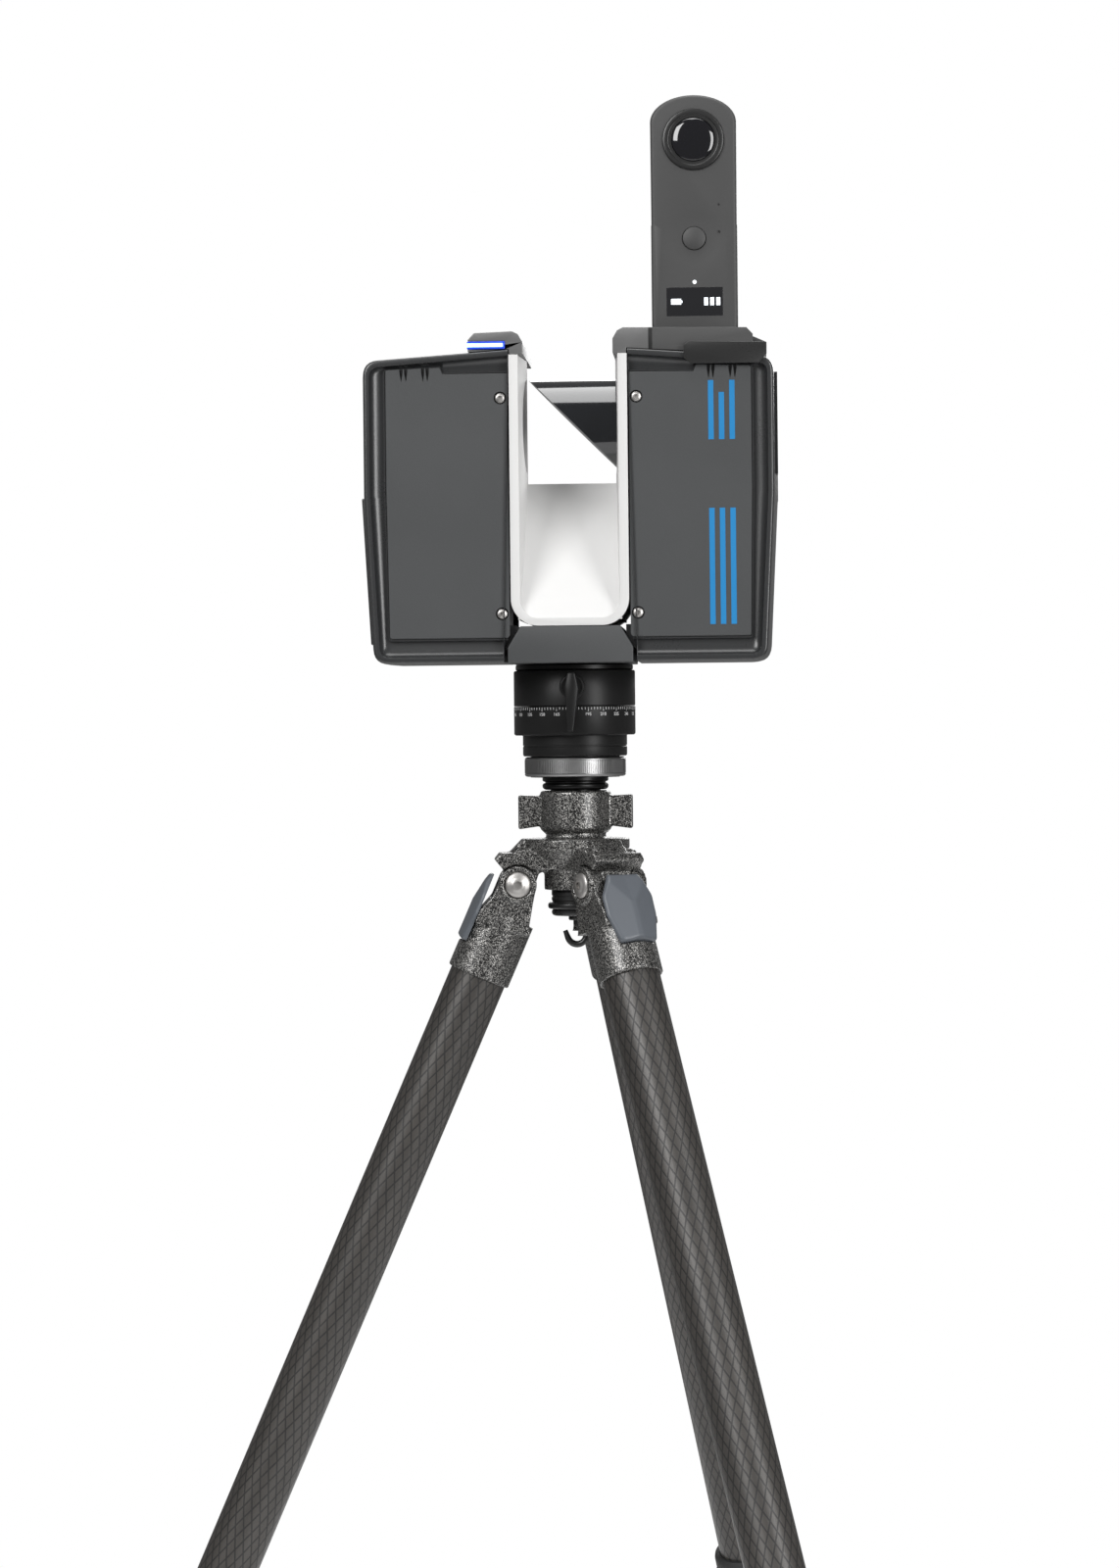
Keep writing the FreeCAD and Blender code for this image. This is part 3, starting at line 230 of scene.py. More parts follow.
def plastic(name, colour, roughness, grain=900, depth=0.00012, speckle=0.25, coat=0.0, metallic=0.0,
            shine=0.5):
    """Moulded or powder-coated skin with a fine grain and a slight drift of shade."""
    shader = Shader(name)
    where = shader.place()
    grains = shader.noise(where, grain, 3.0, 0.6)
    drift = shader.noise(where, 24, 2.0, 0.5)
    darker = tuple(channel * (1 - speckle) for channel in colour[:3]) + (1.0,)
    lighter = tuple(channel * (1 + speckle) for channel in colour[:3]) + (1.0,)
    shade = shader.mix(grains * 0.7 + drift * 0.3, darker, lighter)
    return shader.finish(
        Base_Color=shade,
        Metallic=metallic,
        Roughness=grains * 0.14 + (drift * 0.08 + (roughness - 0.11)),
        Normal=shader.bump(grains, 0.35, depth),
        Coat_Weight=coat,
        Coat_Roughness=0.25,
        Specular_IOR_Level=shine,
    )


def metal(name, colour, roughness, streak=(30, 30, 1400), depth=0.00004):
    """Machined or satin metal with fine marks along one direction."""
    shader = Shader(name)
    where = shader.place()
    marks = shader.noise(shader.mapped(where, streak), 1.0, 3.0, 0.6)
    drift = shader.noise(where, 60, 2.0)
    darker = tuple(channel * 0.82 for channel in colour[:3]) + (1.0,)
    return shader.finish(
        Base_Color=shader.mix(marks * 0.6 + drift * 0.4, darker, colour),
        Metallic=1.0,
        Roughness=marks * 0.16 + (drift * 0.08 + (roughness - 0.12)),
        Normal=shader.bump(marks, 0.25, depth),
    )


# --- shapes ------------------------------------------------------------------------------

def add_object(name, mesh):
    """Put a mesh in the scene as an object at the origin."""
    item = bpy.data.objects.new(name, mesh)
    bpy.context.scene.collection.objects.link(item)
    return item


def mesh_object(name, vertices, faces):
    """An object from vertices and faces, with its faces turned outwards."""
    mesh = bpy.data.meshes.new(name)
    mesh.from_pydata(vertices, [], faces)
    item = add_object(name, mesh)
    tidy(item)
    return item


def tidy(item, merge=1e-6):
    """Merge doubles and turn the faces outwards."""
    work = bmesh.new()
    work.from_mesh(item.data)
    bmesh.ops.remove_doubles(work, verts=work.verts, dist=merge)
    bmesh.ops.recalc_face_normals(work, faces=work.faces)
    work.to_mesh(item.data)
    work.free()


def copy_of(name, *nodes):
    """A merged copy of one or more CAD nodes' meshes, flat faces joined up."""
    work = bmesh.new()
    for node in nodes:
        work.from_mesh(frame["nodes"][node].data)
    bmesh.ops.remove_doubles(work, verts=work.verts, dist=2e-6)
    bmesh.ops.dissolve_limit(work, angle_limit=math.radians(0.6), verts=work.verts, edges=work.edges)
    mesh = bpy.data.meshes.new(name)
    work.to_mesh(mesh)
    work.free()
    mesh.materials.clear()
    return add_object(name, mesh)


def apply_modifiers(item):
    """Turn what the modifiers give into the object's own mesh."""
    bpy.context.view_layer.update()
    finished = bpy.data.meshes.new_from_object(
        item.evaluated_get(bpy.context.evaluated_depsgraph_get()))
    item.modifiers.clear()
    item.data = finished
    return item


def smooth(item, angle=35):
    """Smooth shading, sharp where faces meet at more than an angle."""
    mesh = item.data
    mesh.shade_smooth()
    work = bmesh.new()
    work.from_mesh(mesh)
    limit = math.radians(angle)
    for edge in work.edges:
        edge.smooth = len(edge.link_faces) == 2 and edge.calc_face_angle(0) < limit
    work.to_mesh(mesh)
    work.free()
    return item


def soften(item, width, segments=3, angle=28):
    """Round the sharp edges."""
    bevel = item.modifiers.new("soft_edges", "BEVEL")
    bevel.width = width
    bevel.segments = segments
    bevel.limit_method = "ANGLE"
    bevel.angle_limit = math.radians(angle)
    bevel.use_clamp_overlap = True
    bevel.miter_outer = "MITER_ARC"
    bevel.harden_normals = True
    item.data.shade_smooth()
    return apply_modifiers(item)


def cast_skin(item, voxel, rounds=6):
    """The swollen, softly rounded skin of a casting."""
    remesh = item.modifiers.new("skin", "REMESH")
    remesh.mode = "VOXEL"
    remesh.voxel_size = voxel
    relax = item.modifiers.new("relax", "SMOOTH")
    relax.factor = 0.5
    relax.iterations = rounds
    apply_modifiers(item)
    item.data.shade_smooth()
    return item


def boolean(item, other, operation="DIFFERENCE"):
    """Cut, join or intersect with another object, which is used up."""
    modifier = item.modifiers.new("boolean", "BOOLEAN")
    modifier.operation = operation
    modifier.solver = "EXACT"
    modifier.object = other
    apply_modifiers(item)
    bpy.data.objects.remove(other)
    return item


def paint(item, *materials):
    """Give an object its materials."""
    item.data.materials.clear()
    for material in materials:
        item.data.materials.append(material)
    return item


def placed_piece(item, node, stands=True):
    """A piece in its own materials that rides on a CAD node's body, and stands for the node or adds to it."""
    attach(item, BODY_OF[node])
    if stands:
        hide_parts(node)
    return item


def finish_piece(item, node, *materials, stands=True):
    """The same for a piece that is painted first."""
    return placed_piece(paint(item, *materials), node, stands)


def dress(node, *materials):
    """A CAD node that stays, in a better material."""
    paint(frame["nodes"][node], *materials)


def lathe(name, profile, steps=96):
    """A closed ring or a solid turned about Z from (radius, height) points; radius 0 closes it."""
    vertices, rings = [], []
    for radius, height in profile:
        if radius < 1e-9:
            rings.append([len(vertices)])
            vertices.append((0, 0, height))
            continue
        rings.append(list(range(len(vertices), len(vertices) + steps)))
        vertices += [(radius * math.cos(math.tau * step / steps),
                      radius * math.sin(math.tau * step / steps), height) for step in range(steps)]
    closed = profile[0][0] > 1e-9 and profile[-1][0] > 1e-9
    pairs = list(zip(rings, rings[1:])) + ([(rings[-1], rings[0])] if closed else [])
    faces = []
    for low, high in pairs:
        for step in range(steps):
            corners = [low[step % len(low)], low[(step + 1) % len(low)],
                       high[(step + 1) % len(high)], high[step % len(high)]]
            faces.append(list(dict.fromkeys(corners)))
    return mesh_object(name, vertices, [face for face in faces if len(face) > 2])


def turned(name, profile, steps=96, lift=0.0):
    """The same from a profile in millimetres, raised by a height."""
    return lathe(name, [(radius * MM, height * MM + lift) for radius, height in profile], steps)


def slab(name, outline, low, high, axis="y"):
    """An outline of (across, up) points given a thickness along an axis."""
    def corner(across, up, level):
        return {"y": (across, level, up), "x": (level, across, up), "z": (across, up, level)}[axis]
    count = len(outline)
    vertices = [corner(*point, low) for point in outline] + [corner(*point, high) for point in outline]
    faces = [list(range(count)), list(range(count, 2 * count))]
    faces += [[step, (step + 1) % count, (step + 1) % count + count, step + count] for step in range(count)]
    return mesh_object(name, vertices, faces)


def moved(item, matrix):
    """Apply a place or a turn to the mesh itself."""
    item.data.transform(matrix)
    if matrix.determinant() < 0:
        item.data.flip_normals()
    return item


def joined(name, items):
    """Several objects as one; materials are kept."""
    work = bmesh.new()
    materials = []
    for item in items:
        start = len(work.faces)
        work.from_mesh(item.data)
        work.faces.ensure_lookup_table()
        for face in work.faces[start:]:
            source = item.data.materials[face.material_index] if item.data.materials else None
            if source not in materials:
                materials.append(source)
            face.material_index = materials.index(source)
    mesh = bpy.data.meshes.new(name)
    work.to_mesh(mesh)
    work.free()
    for item in items:
        bpy.data.objects.remove(item)
    for material in materials:
        if material:
            mesh.materials.append(material)
    return add_object(name, mesh)


class Tree:
    """A Geometry Nodes tree that is run once on an object and leaves a plain mesh."""

    def __init__(self, name, **inputs):
        self.group = bpy.data.node_groups.new(name, "GeometryNodeTree")
        face = self.group.interface
        self.base = face.new_socket("Geometry", in_out="INPUT", socket_type="NodeSocketGeometry")
        face.new_socket("Geometry", in_out="OUTPUT", socket_type="NodeSocketGeometry")
        self.values = {}
        for label, value in inputs.items():
            kind = "NodeSocketInt" if isinstance(value, int) else "NodeSocketFloat"
            socket = face.new_socket(label, in_out="INPUT", socket_type=kind)
            self.values[socket.identifier] = value
        self.source = self.group.nodes.new("NodeGroupInput")
        self.target = self.group.nodes.new("NodeGroupOutput")

    def given(self, label):
        """A named input."""
        return self.source.outputs[label]

    def add(self, kind, settings=None, sockets=None, output=0):
        """Any node: its settings first, then its sockets' values or links."""
        node = self.group.nodes.new(kind)
        for name, value in (settings or {}).items():
            setattr(node, name, value)
        for name, value in (sockets or {}).items():
            if isinstance(value, bpy.types.NodeSocket):
                self.group.links.new(value, node.inputs[name])
            else:
                node.inputs[name].default_value = value
        return node.outputs[output]

    def run(self, geometry, material, item):
        """End the tree, run it on an object, and keep the result as the object's mesh."""
        real = self.add("GeometryNodeRealizeInstances", None, {"Geometry": geometry})
        dressed = self.add("GeometryNodeSetMaterial", None, {"Geometry": real, "Material": material})
        self.group.links.new(dressed, self.target.inputs[0])
        modifier = item.modifiers.new("pattern", "NODES")
        modifier.node_group = self.group
        for identifier, value in self.values.items():
            modifier[identifier] = value
        return apply_modifiers(item)


def spread(tree, points, instance, turn=None):
    """Instances of a shape on points, each turned if wanted."""
    sockets = {"Points": points, "Instance": instance}
    if turn is not None:
        sockets["Rotation"] = turn
    return tree.add("GeometryNodeInstanceOnPoints", None, sockets)


def ring_of(name, material, count, radius, size, rounding, height=0.0, start=0.0, skip=0.0):
    """Small rounded blocks set round a circle, each facing outwards; skip leaves a gap."""
    tree = Tree(name, count=count, radius=radius, width=size[1], reach=size[0], tall=size[2],
                rounding=rounding, height=height, start=start, sweep=math.tau - skip)
    line = tree.add("GeometryNodeMeshLine", {"mode": "OFFSET"}, {"Count": tree.given("count")})
    index = tree.add("GeometryNodeInputIndex")
    share = tree.add("ShaderNodeMath", {"operation": "DIVIDE"}, {0: index, 1: tree.given("count")})
    swept = tree.add("ShaderNodeMath", {"operation": "MULTIPLY"}, {0: share, 1: tree.given("sweep")})
    angle = tree.add("ShaderNodeMath", {"operation": "ADD"}, {0: swept, 1: tree.given("start")})
    sine = tree.add("ShaderNodeMath", {"operation": "SINE"}, {0: angle})
    cosine = tree.add("ShaderNodeMath", {"operation": "COSINE"}, {0: angle})
    across = tree.add("ShaderNodeMath", {"operation": "MULTIPLY"}, {0: cosine, 1: tree.given("radius")})
    along = tree.add("ShaderNodeMath", {"operation": "MULTIPLY"}, {0: sine, 1: tree.given("radius")})
    place = tree.add("ShaderNodeCombineXYZ", None, {"X": across, "Y": along, "Z": tree.given("height")})
    points = tree.add("GeometryNodeSetPosition", None, {"Geometry": line, "Position": place})
    extent = tree.add("ShaderNodeCombineXYZ", None,
                      {"X": tree.given("reach"), "Y": tree.given("width"), "Z": tree.given("tall")})
    block = tree.add("GeometryNodeMeshCube", None, {"Size": extent})
    turn = tree.add("ShaderNodeCombineXYZ", None, {"Z": angle})
    blocks = spread(tree, points, block, turn)
    item = add_object(name, bpy.data.meshes.new(name))
    tree.run(blocks, material, item)
    if rounding:
        soften(item, rounding, 2)
    return item


def turned_up(centre, normal):
    """The place of a shape made about Z, set at a centre and facing along a normal."""
    facing = Vector(normal).to_track_quat("Z", "Y").to_matrix().to_4x4()
    return Matrix.Translation(Vector(centre)) @ facing


def hex_bolt(name, radius, thick, socket, steps=40):
    """A domed button head with a hexagonal socket, standing on Z = 0."""
    dome = [(0, 0), (radius, 0), (radius, 0.28 * thick)]
    dome += [(radius * math.cos(a), thick * (0.28 + 0.72 * math.sin(a)))
             for a in (math.radians(d) for d in (12, 24, 36, 48, 60))]
    dome += [(0.45 * radius, thick), (0, thick)]
    head = lathe(name, dome, steps)
    hexagon = [(socket * math.cos(math.radians(60 * k)), socket * math.sin(math.radians(60 * k)))
               for k in range(6)]
    boolean(head, slab("socket", hexagon, 0.35 * thick, 2 * thick, "z"))
    return smooth(head, 40)


def bent_rod(name, points, radius, steps=14, taper=None):
    """A rod along a smooth curve through points, with rounded ends."""
    curve = bpy.data.curves.new(name, "CURVE")
    curve.dimensions = "3D"
    curve.bevel_depth = radius
    curve.bevel_resolution = 5
    curve.use_fill_caps = True
    spline = curve.splines.new("NURBS")
    spline.points.add(len(points) - 1)
    for index, point in enumerate(points):
        spline.points[index].co = (*point, 1)
        spline.points[index].radius = taper[index] if taper else 1.0
    spline.order_u = 4
    spline.use_endpoint_u = True
    spline.resolution_u = steps
    item = bpy.data.objects.new(name, curve)
    bpy.context.scene.collection.objects.link(item)
    bpy.context.view_layer.update()
    mesh = bpy.data.meshes.new_from_object(
        item.evaluated_get(bpy.context.evaluated_depsgraph_get()))
    bpy.data.objects.remove(item)
    rod = add_object(name, mesh)
    tidy(rod)
    rod.data.shade_smooth()
    return rod


# --- camera, light and floor ------------------------------------------------------------------

def look(location, roll, lens, shift):
    """The camera, level and looking along +Y."""
    camera = bpy.data.cameras.new("camera")
    camera.lens = lens
    camera.shift_x, camera.shift_y = shift
    item = bpy.data.objects.new("camera", camera)
    bpy.context.scene.collection.objects.link(item)
    target = Vector((0, 0, location[2]))
    facing = (target - Vector(location)).to_track_quat("-Z", "Y").to_matrix().to_4x4()
    item.matrix_world = Matrix.Translation(location) @ facing @ Matrix.Rotation(math.radians(roll), 4, "Z")
    bpy.context.scene.camera = item


def soft_light(name, location, target, size, power, tint=(1, 1, 1)):
    """A rectangular softbox aimed at a point."""
    light = bpy.data.lights.new(name, "AREA")
    light.shape = "RECTANGLE"
    light.size, light.size_y = size
    light.energy = power
    light.color = tint
    item = bpy.data.objects.new(name, light)
    bpy.context.scene.collection.objects.link(item)
    facing = (Vector(target) - Vector(location)).to_track_quat("-Z", "Y").to_matrix().to_4x4()
    item.matrix_world = Matrix.Translation(location) @ facing


def surroundings():
    """White all round for the camera, dimmer for what the object reflects."""
    world = bpy.data.worlds.new("studio")
    world.use_nodes = True
    nodes, links = world.node_tree.nodes, world.node_tree.links
    background = nodes["Background"]
    background.inputs["Color"].default_value = (1, 1, 1, 1)
    seen = nodes.new("ShaderNodeLightPath")
    strength = nodes.new("ShaderNodeMix")
    strength.data_type = "FLOAT"
    links.new(seen.outputs["Is Camera Ray"], strength.inputs[0])
    strength.inputs[2].default_value = 0.17
    strength.inputs[3].default_value = 1.0
    links.new(strength.outputs[0], background.inputs["Strength"])
    bpy.context.scene.world = world


def floor():
    """A plain pale disc under the object."""
    shader = Shader("pale_floor")
    shade = shader.noise(shader.place(), 3.0, 2.0)
    material = shader.finish(Base_Color=shader.mix(shade, grey(0.86), grey(0.90)), Roughness=0.8)
    item = lathe("floor", [(0, -0.004), (0.93, -0.004), (0.93, -0.0004), (0, -0.0004)], 128)
    paint(item, material)


look((0.096, -2.498, 0.6566), -0.6, 102.4, (-0.0098, -0.0375))
soft_light("key_light", (-1.3, -1.9, 1.9), (0, 0, 0.75), (1.1, 1.5), 42)
soft_light("fill_light", (1.6, -1.7, 1.0), (0, 0, 0.6), (0.9, 1.7), 33)
soft_light("top_light", (0.1, -0.1, 2.5), (0, 0, 0.8), (1.5, 1.2), 28)
soft_light("back_light", (0.4, 2.2, 1.6), (0, 0, 0.7), (1.6, 1.2), 22)
surroundings()
floor()
bpy.context.scene.view_settings.view_transform = "Standard"


# --- finishes ---------------------------------------------------------------------------------

def glow(name, core, rim, strength):
    """A lit plastic bar, paler in its middle."""
    shader = Shader(name)
    where = shader.place()
    cloud = shader.noise(where, 140, 2.0)
    colour = shader.mix(cloud, core, rim)
    return shader.finish(Base_Color=colour, Roughness=0.25, Emission_Color=colour, Emission_Strength=strength)


def gloss_glass(name, colour, roughness=0.05, coat=1.0, metallic=0.0):
    """Polished dark glass or lacquer with faint smears."""
    shader = Shader(name)
    where = shader.place()
    smears = shader.noise(where, 70, 4.0, 0.6)
    return shader.finish(
        Base_Color=shader.mix(smears, grey(0.85, colour), grey(1.15, colour)),
        Metallic=metallic,
        Roughness=smears * 0.05 + roughness,
        Normal=shader.bump(smears, 0.03, 0.0002),
        Coat_Weight=coat,
        Coat_Roughness=0.03,
    )


enamel = hammertone()
carbon = {radius: carbon_tube(radius * MM) for radius in (16.0, 13.9, 11.8)}
grip_rubber = plastic("grip_rubber", grey(0.022), 0.62, 1400, 0.0002)
foot_rubber = plastic("foot_rubber", grey(0.02), 0.75, 700, 0.0003)
latch_plastic = plastic("latch_plastic", grey(0.125, (0.88, 0.97, 1.1)), 0.38, 2200, 0.00003, 0.06)
bolt_steel = metal("bolt_steel", grey(0.56, (1, 0.97, 0.94)), 0.42, (160, 160, 160))
black_metal = metal("black_anodised", grey(0.03), 0.34, (60, 60, 900))
ring_silver = metal("ring_silver", grey(0.42), 0.36, (200, 200, 600))
adapter_black = plastic("adapter_black", grey(0.012), 0.36, 2600, 0.00003, 0.15, shine=0.22)
frame_silver = plastic("frame_silver", grey(0.66, (1.0, 0.995, 0.985)), 0.55, 1700, 0.00002, 0.03)
case_dark = plastic("case_dark", grey(0.030, (0.97, 1.0, 1.04)), 0.30, 1500, 0.00003, 0.10, coat=0.4)
panel_grey = plastic("panel_grey", grey(0.058, (0.96, 1.0, 1.03)), 0.50, 1300, 0.00013, 0.22)
cap_grey = plastic("cap_grey", grey(0.17), 0.34, 1800, 0.00003, 0.06, metallic=0.35)
mount_grey = plastic("mount_grey", grey(0.060), 0.42, 1600, 0.00004, 0.08)
mirror_black = gloss_glass("mirror_black", (0.008, 0.009, 0.011), 0.10)
mirror_face = gloss_glass("mirror_face", (0.55, 0.57, 0.6), 0.02, metallic=1.0)
dark_glass = gloss_glass("dark_glass", (0.012, 0.012, 0.014))
lens_glass = gloss_glass("lens_glass", (0.004, 0.004, 0.006), 0.03)
inner_metal = metal("inner_metal", grey(0.34), 0.4)
board_green = plastic("board_green", (0.015, 0.09, 0.04, 1), 0.4, 800, 0.00005)
battery_black = plastic("battery_black", grey(0.03), 0.5, 900, 0.0001)
camera_grey = plastic("camera_grey", grey(0.052), 0.52, 2600, 0.00005, 0.10)
lens_black = plastic("lens_black", grey(0.014), 0.35, 2600, 0.00003, 0.1, coat=0.2)
stripe_blue = plastic("stripe_blue", (0.014, 0.215, 0.50, 1), 0.42, 1500, 0.00003, 0.07)
scale_white = plastic("scale_white", grey(0.75), 0.5, 1500, 0.00003, 0.05)
light_core = glow("light_core", (0.62, 0.92, 1.0, 1), (0.42, 0.84, 1.0, 1), 1.0)
light_rim = glow("light_rim", (0.01, 0.06, 0.62, 1), (0.01, 0.03, 0.36, 1), 0.7)
display_white = glow("display_white", (0.9, 0.95, 1.0, 1), (0.8, 0.85, 0.9, 1), 0.8)
# near-black: the camera mount's seam and front plate, and painted shade for the camera's two microphone holes
dark_trim_and_hole_shade = plastic("dark_trim_and_hole_shade", grey(0.02), 0.3, 1200, 0.00003, 0.1)


# --- legs -------------------------------------------------------------------------------------

FOLD = {leg: Vector(JOINTS[f"leg_{leg}_fold"]["pos_m"]) for leg in (1, 2, 3)}
ANKLE = {leg: Vector(JOINTS[f"leg_{leg}_foot_swivel"]["pos_m"]) for leg in (1, 2, 3)}


def leg_place(leg):
    """A leg's own frame: origin at its pivot, -Z down the leg, X outwards."""
    run = ANKLE[leg] - FOLD[leg]
    lean = math.atan2(math.hypot(run.x, run.y), -run.z)
    turn = math.atan2(FOLD[leg].y, FOLD[leg].x)
    return (Matrix.Translation(FOLD[leg]) @ Matrix.Rotation(turn, 4, "Z")
            @ Matrix.Rotation(-lean, 4, "Y"))


def mark_leg_space(item, place):
    """Keep each point's place in the leg's own frame, for a pattern that follows the tube."""
    inverse = place.inverted()
    spots = [tuple(inverse @ vertex.co) for vertex in item.data.vertices]
    layer = item.data.attributes.new("leg_space", "FLOAT_VECTOR", "POINT")
    layer.data.foreach_set("vector", [value for spot in spots for value in spot])
    return item


def tube_piece(leg, part, radius, ends=None):
    """A carbon tube; its metal end, if it has one, takes a second material."""
    node = f"leg_{leg}_{part}_tube"
    item = smooth(copy_of(f"{node}_skin", node), 30)
    mark_leg_space(item, leg_place(leg))
    materials = [carbon[radius]]
    if ends:
        materials.append(black_metal)
        inverse = leg_place(leg).inverted()
        for polygon in item.data.polygons:
            if (inverse @ polygon.center).z < -ends:
                polygon.material_index = 1
    kept = [polygon.material_index for polygon in item.data.polygons]
    finish_piece(item, node, *materials)
    item.data.polygons.foreach_set("material_index", kept)


def twist_grip(leg, level, upper, lower, start, end):
    """A rubber grip sleeve with ribs, a stepped collar above and a rounded mouth below."""
    node = f"leg_{leg}_{level}_twist_lock"
    outer = upper + 3.6
    profile = [(lower + 0.05, -end), (outer - 2.4, -end), (outer - 1.0, -end + 0.8), (outer, -end + 4.5),
               (outer, -end + 9), (outer - 0.7, -end + 9.6), (outer - 0.7, -start - 9.6),
               (outer, -start - 9), (outer, -start - 3.4), (outer - 0.5, -start - 1.6),
               (outer - 1.8, -start), (upper + 0.05, -start), (upper + 0.05, -end + 46)]
    profile = [(r * MM, z * MM) for r, z in profile[:-1]] + [((upper + 0.05) * MM, (-end + 9) * MM),
                                                            ((lower + 0.05) * MM, (-end + 8) * MM)]
    sleeve = smooth(lathe(f"{node}_sleeve", profile), 32)
    paint(sleeve, grip_rubber)
    middle = -(start + end) / 2 * MM
    ribs = ring_of(f"{node}_ribs", grip_rubber, 30, (outer - 0.55) * MM,
                   (1.7 * MM, 2.3 * MM, (end - start - 20) * MM), 0.45 * MM, middle)
    both = joined(f"{node}_grip", [sleeve, ribs])
    moved(both, leg_place(leg))
    placed_piece(both, node)


def foot_pad(leg):
    """A round rubber foot with grooves round its flank and a cup for the ball."""
    node = f"leg_{leg}_foot_pad"
    profile = [(0, 0), (20.2, 0), (21.6, 0.6), (22, 1.6), (22, 4.2), (21.2, 5.2), (18.6, 5.9), (18.2, 5.3),
               (17.4, 5.4), (17.2, 6.4), (14.4, 8.2), (13.0, 10.4), (12.0, 14.0), (11.6, 17.4), (11.0, 18.6),
               (9.6, 19), (8.4, 18.6), (7.2, 17.6), (7.2, 16.4), (0, 16.4)]
    pad = smooth(turned(f"{node}_rubber", profile, 72), 50)
    grips = ring_of(f"{node}_treads", foot_rubber, 24, 19.6 * MM, (3.6 * MM, 2.4 * MM, 2.4 * MM),
                    0.4 * MM, 1.5 * MM)
    both = joined(f"{node}_tread", [paint(pad, foot_rubber), grips])
    moved(both, Matrix.Translation((ANKLE[leg].x, ANKLE[leg].y, 0)))
    placed_piece(both, node)


def angle_latch(leg):
    """A shield-shaped slide: a V-shaped facet at the top, and side facets about a middle ridge."""
    node = f"leg_{leg}_angle_latch"
    inner, thick, width, drop = 14.2, 5.6, 32.0, 40.0

    def half_width(z):
        """Half the shield's width at a height below its top."""
        stops = [(0, 0.30), (0.30, 0.49), (0.34, 0.5), (0.60, 0.495), (0.9, 0.39), (0.97, 0.365), (1, 0.33)]
        share = -z / drop
        for (a, low), (b, high) in zip(stops, stops[1:]):
            if a <= share <= b + 1e-9:
                return width * (low + (high - low) * (share - a) / (b - a))
        return width * 0.34

    def proud(y, z):
        """How far the face stands out: the lowest of its facets."""
        side = thick - 0.25 * max(abs(y) - 1.6, 0.0)
        vee = thick - 0.24 * (z + 0.36 * drop) - 0.12 * (16 - abs(y)) * 0.5
        chin = thick - 0.9 * max(-z - 0.95 * drop, 0)
        return max(min(side, vee + 0.25, chin), 1.2)

    rows, columns = 44, 32
    front, back = [], []
    for row in range(rows + 1):
        z = -drop * row / rows
        half = half_width(z)
        for column in range(columns + 1):
            y = half * (2 * column / columns - 1)
            edge = min(half - abs(y), -z + 0.0, drop + z)
            round_off = 1.0 * (1 - min(edge / 1.6, 1)) ** 2
            front.append(((inner + proud(y, z) - round_off) * MM, y * MM, z * MM))
            back.append((inner * MM, y * MM, z * MM))
    stride = columns + 1
    count = len(front)
    faces = []
    for row in range(rows):
        for column in range(columns):
            a = row * stride + column
            quad = [a, a + 1, a + stride + 1, a + stride]
            faces += [quad, [corner + count for corner in reversed(quad)]]
    border = ([column for column in range(columns)]
              + [row * stride + columns for row in range(rows)]
              + [rows * stride + column for column in range(columns, 0, -1)]
              + [row * stride for row in range(rows, 0, -1)])
    faces += [[a, b, b + count, a + count] for a, b in zip(border, border[1:] + border[:1])]
    shield = smooth(mesh_object(f"{node}_shield", front + back, faces), 50)
    moved(shield, leg_place(leg))
    finish_piece(shield, node, latch_plastic)


def casting(leg):
    """The cast fork and sleeve, with a raised ring round each bolt head."""
    node = f"leg_{leg}_casting"
    raw = copy_of(f"{node}_raw", node)
    place = leg_place(leg)
    parts = [raw]
    for side in (-1, 1):
        collar = turned("boss", [(7.7, 0), (10.4, 0), (10.4, 2.4), (7.7, 2.4)], 48)
        moved(collar, place @ turned_up((0, side * 16.4 * MM, 0), (0, side, 0)))
        parts.append(collar)
    item = cast_skin(joined(f"{node}_skin", parts), 0.75 * MM, 3)
    finish_piece(item, node, enamel)


def pivot_bolts():
    """Six button heads on their pins."""
    heads = []
    for leg in (1, 2, 3):
        place = leg_place(leg)
        pin = turned("pin", [(0, -17.3), (4, -17.3), (4, 17.3), (0, 17.3)], 24)
        heads.append(moved(pin, place @ turned_up((0, 0, 0), (0, 1, 0))))
        for side in (-1, 1):
            head = hex_bolt("head", 7.2 * MM, 3.0 * MM, 2.1 * MM)
            heads.append(moved(head, place @ turned_up((0, side * 17.3 * MM, 0), (0, side, 0))))
    finish_piece(joined("pivot_bolt_heads", heads), "leg_pivot_bolts", bolt_steel)


for leg in (1, 2, 3):
    casting(leg)
    tube_piece(leg, "upper", 16.0)
    tube_piece(leg, "middle", 13.9)
    tube_piece(leg, "lower", 11.8, ends=580 * MM)
    twist_grip(leg, "upper", 16.0, 13.9, 444, 499)
    twist_grip(leg, "lower", 13.9, 11.8, 507, 560)
    foot_pad(leg)
    angle_latch(leg)
pivot_bolts()


# --- hub and centre column --------------------------------------------------------------------

PIVOT = FOLD[1].z


def cast_node(node, voxel, rounds, material):
    """A CAD node as a softly rounded casting."""
    item = cast_skin(copy_of(f"{node}_skin", node), voxel, rounds)
    finish_piece(item, node, material)
    return item


def turned_node(node, profile, material, steps=96, angle=35):
    """A lathed piece that stands for a CAD node; heights are above the leg pivots, in millimetres."""
    item = smooth(turned(f"{node}_turned", profile, steps, PIVOT), angle)
    finish_piece(item, node, material)
    return item


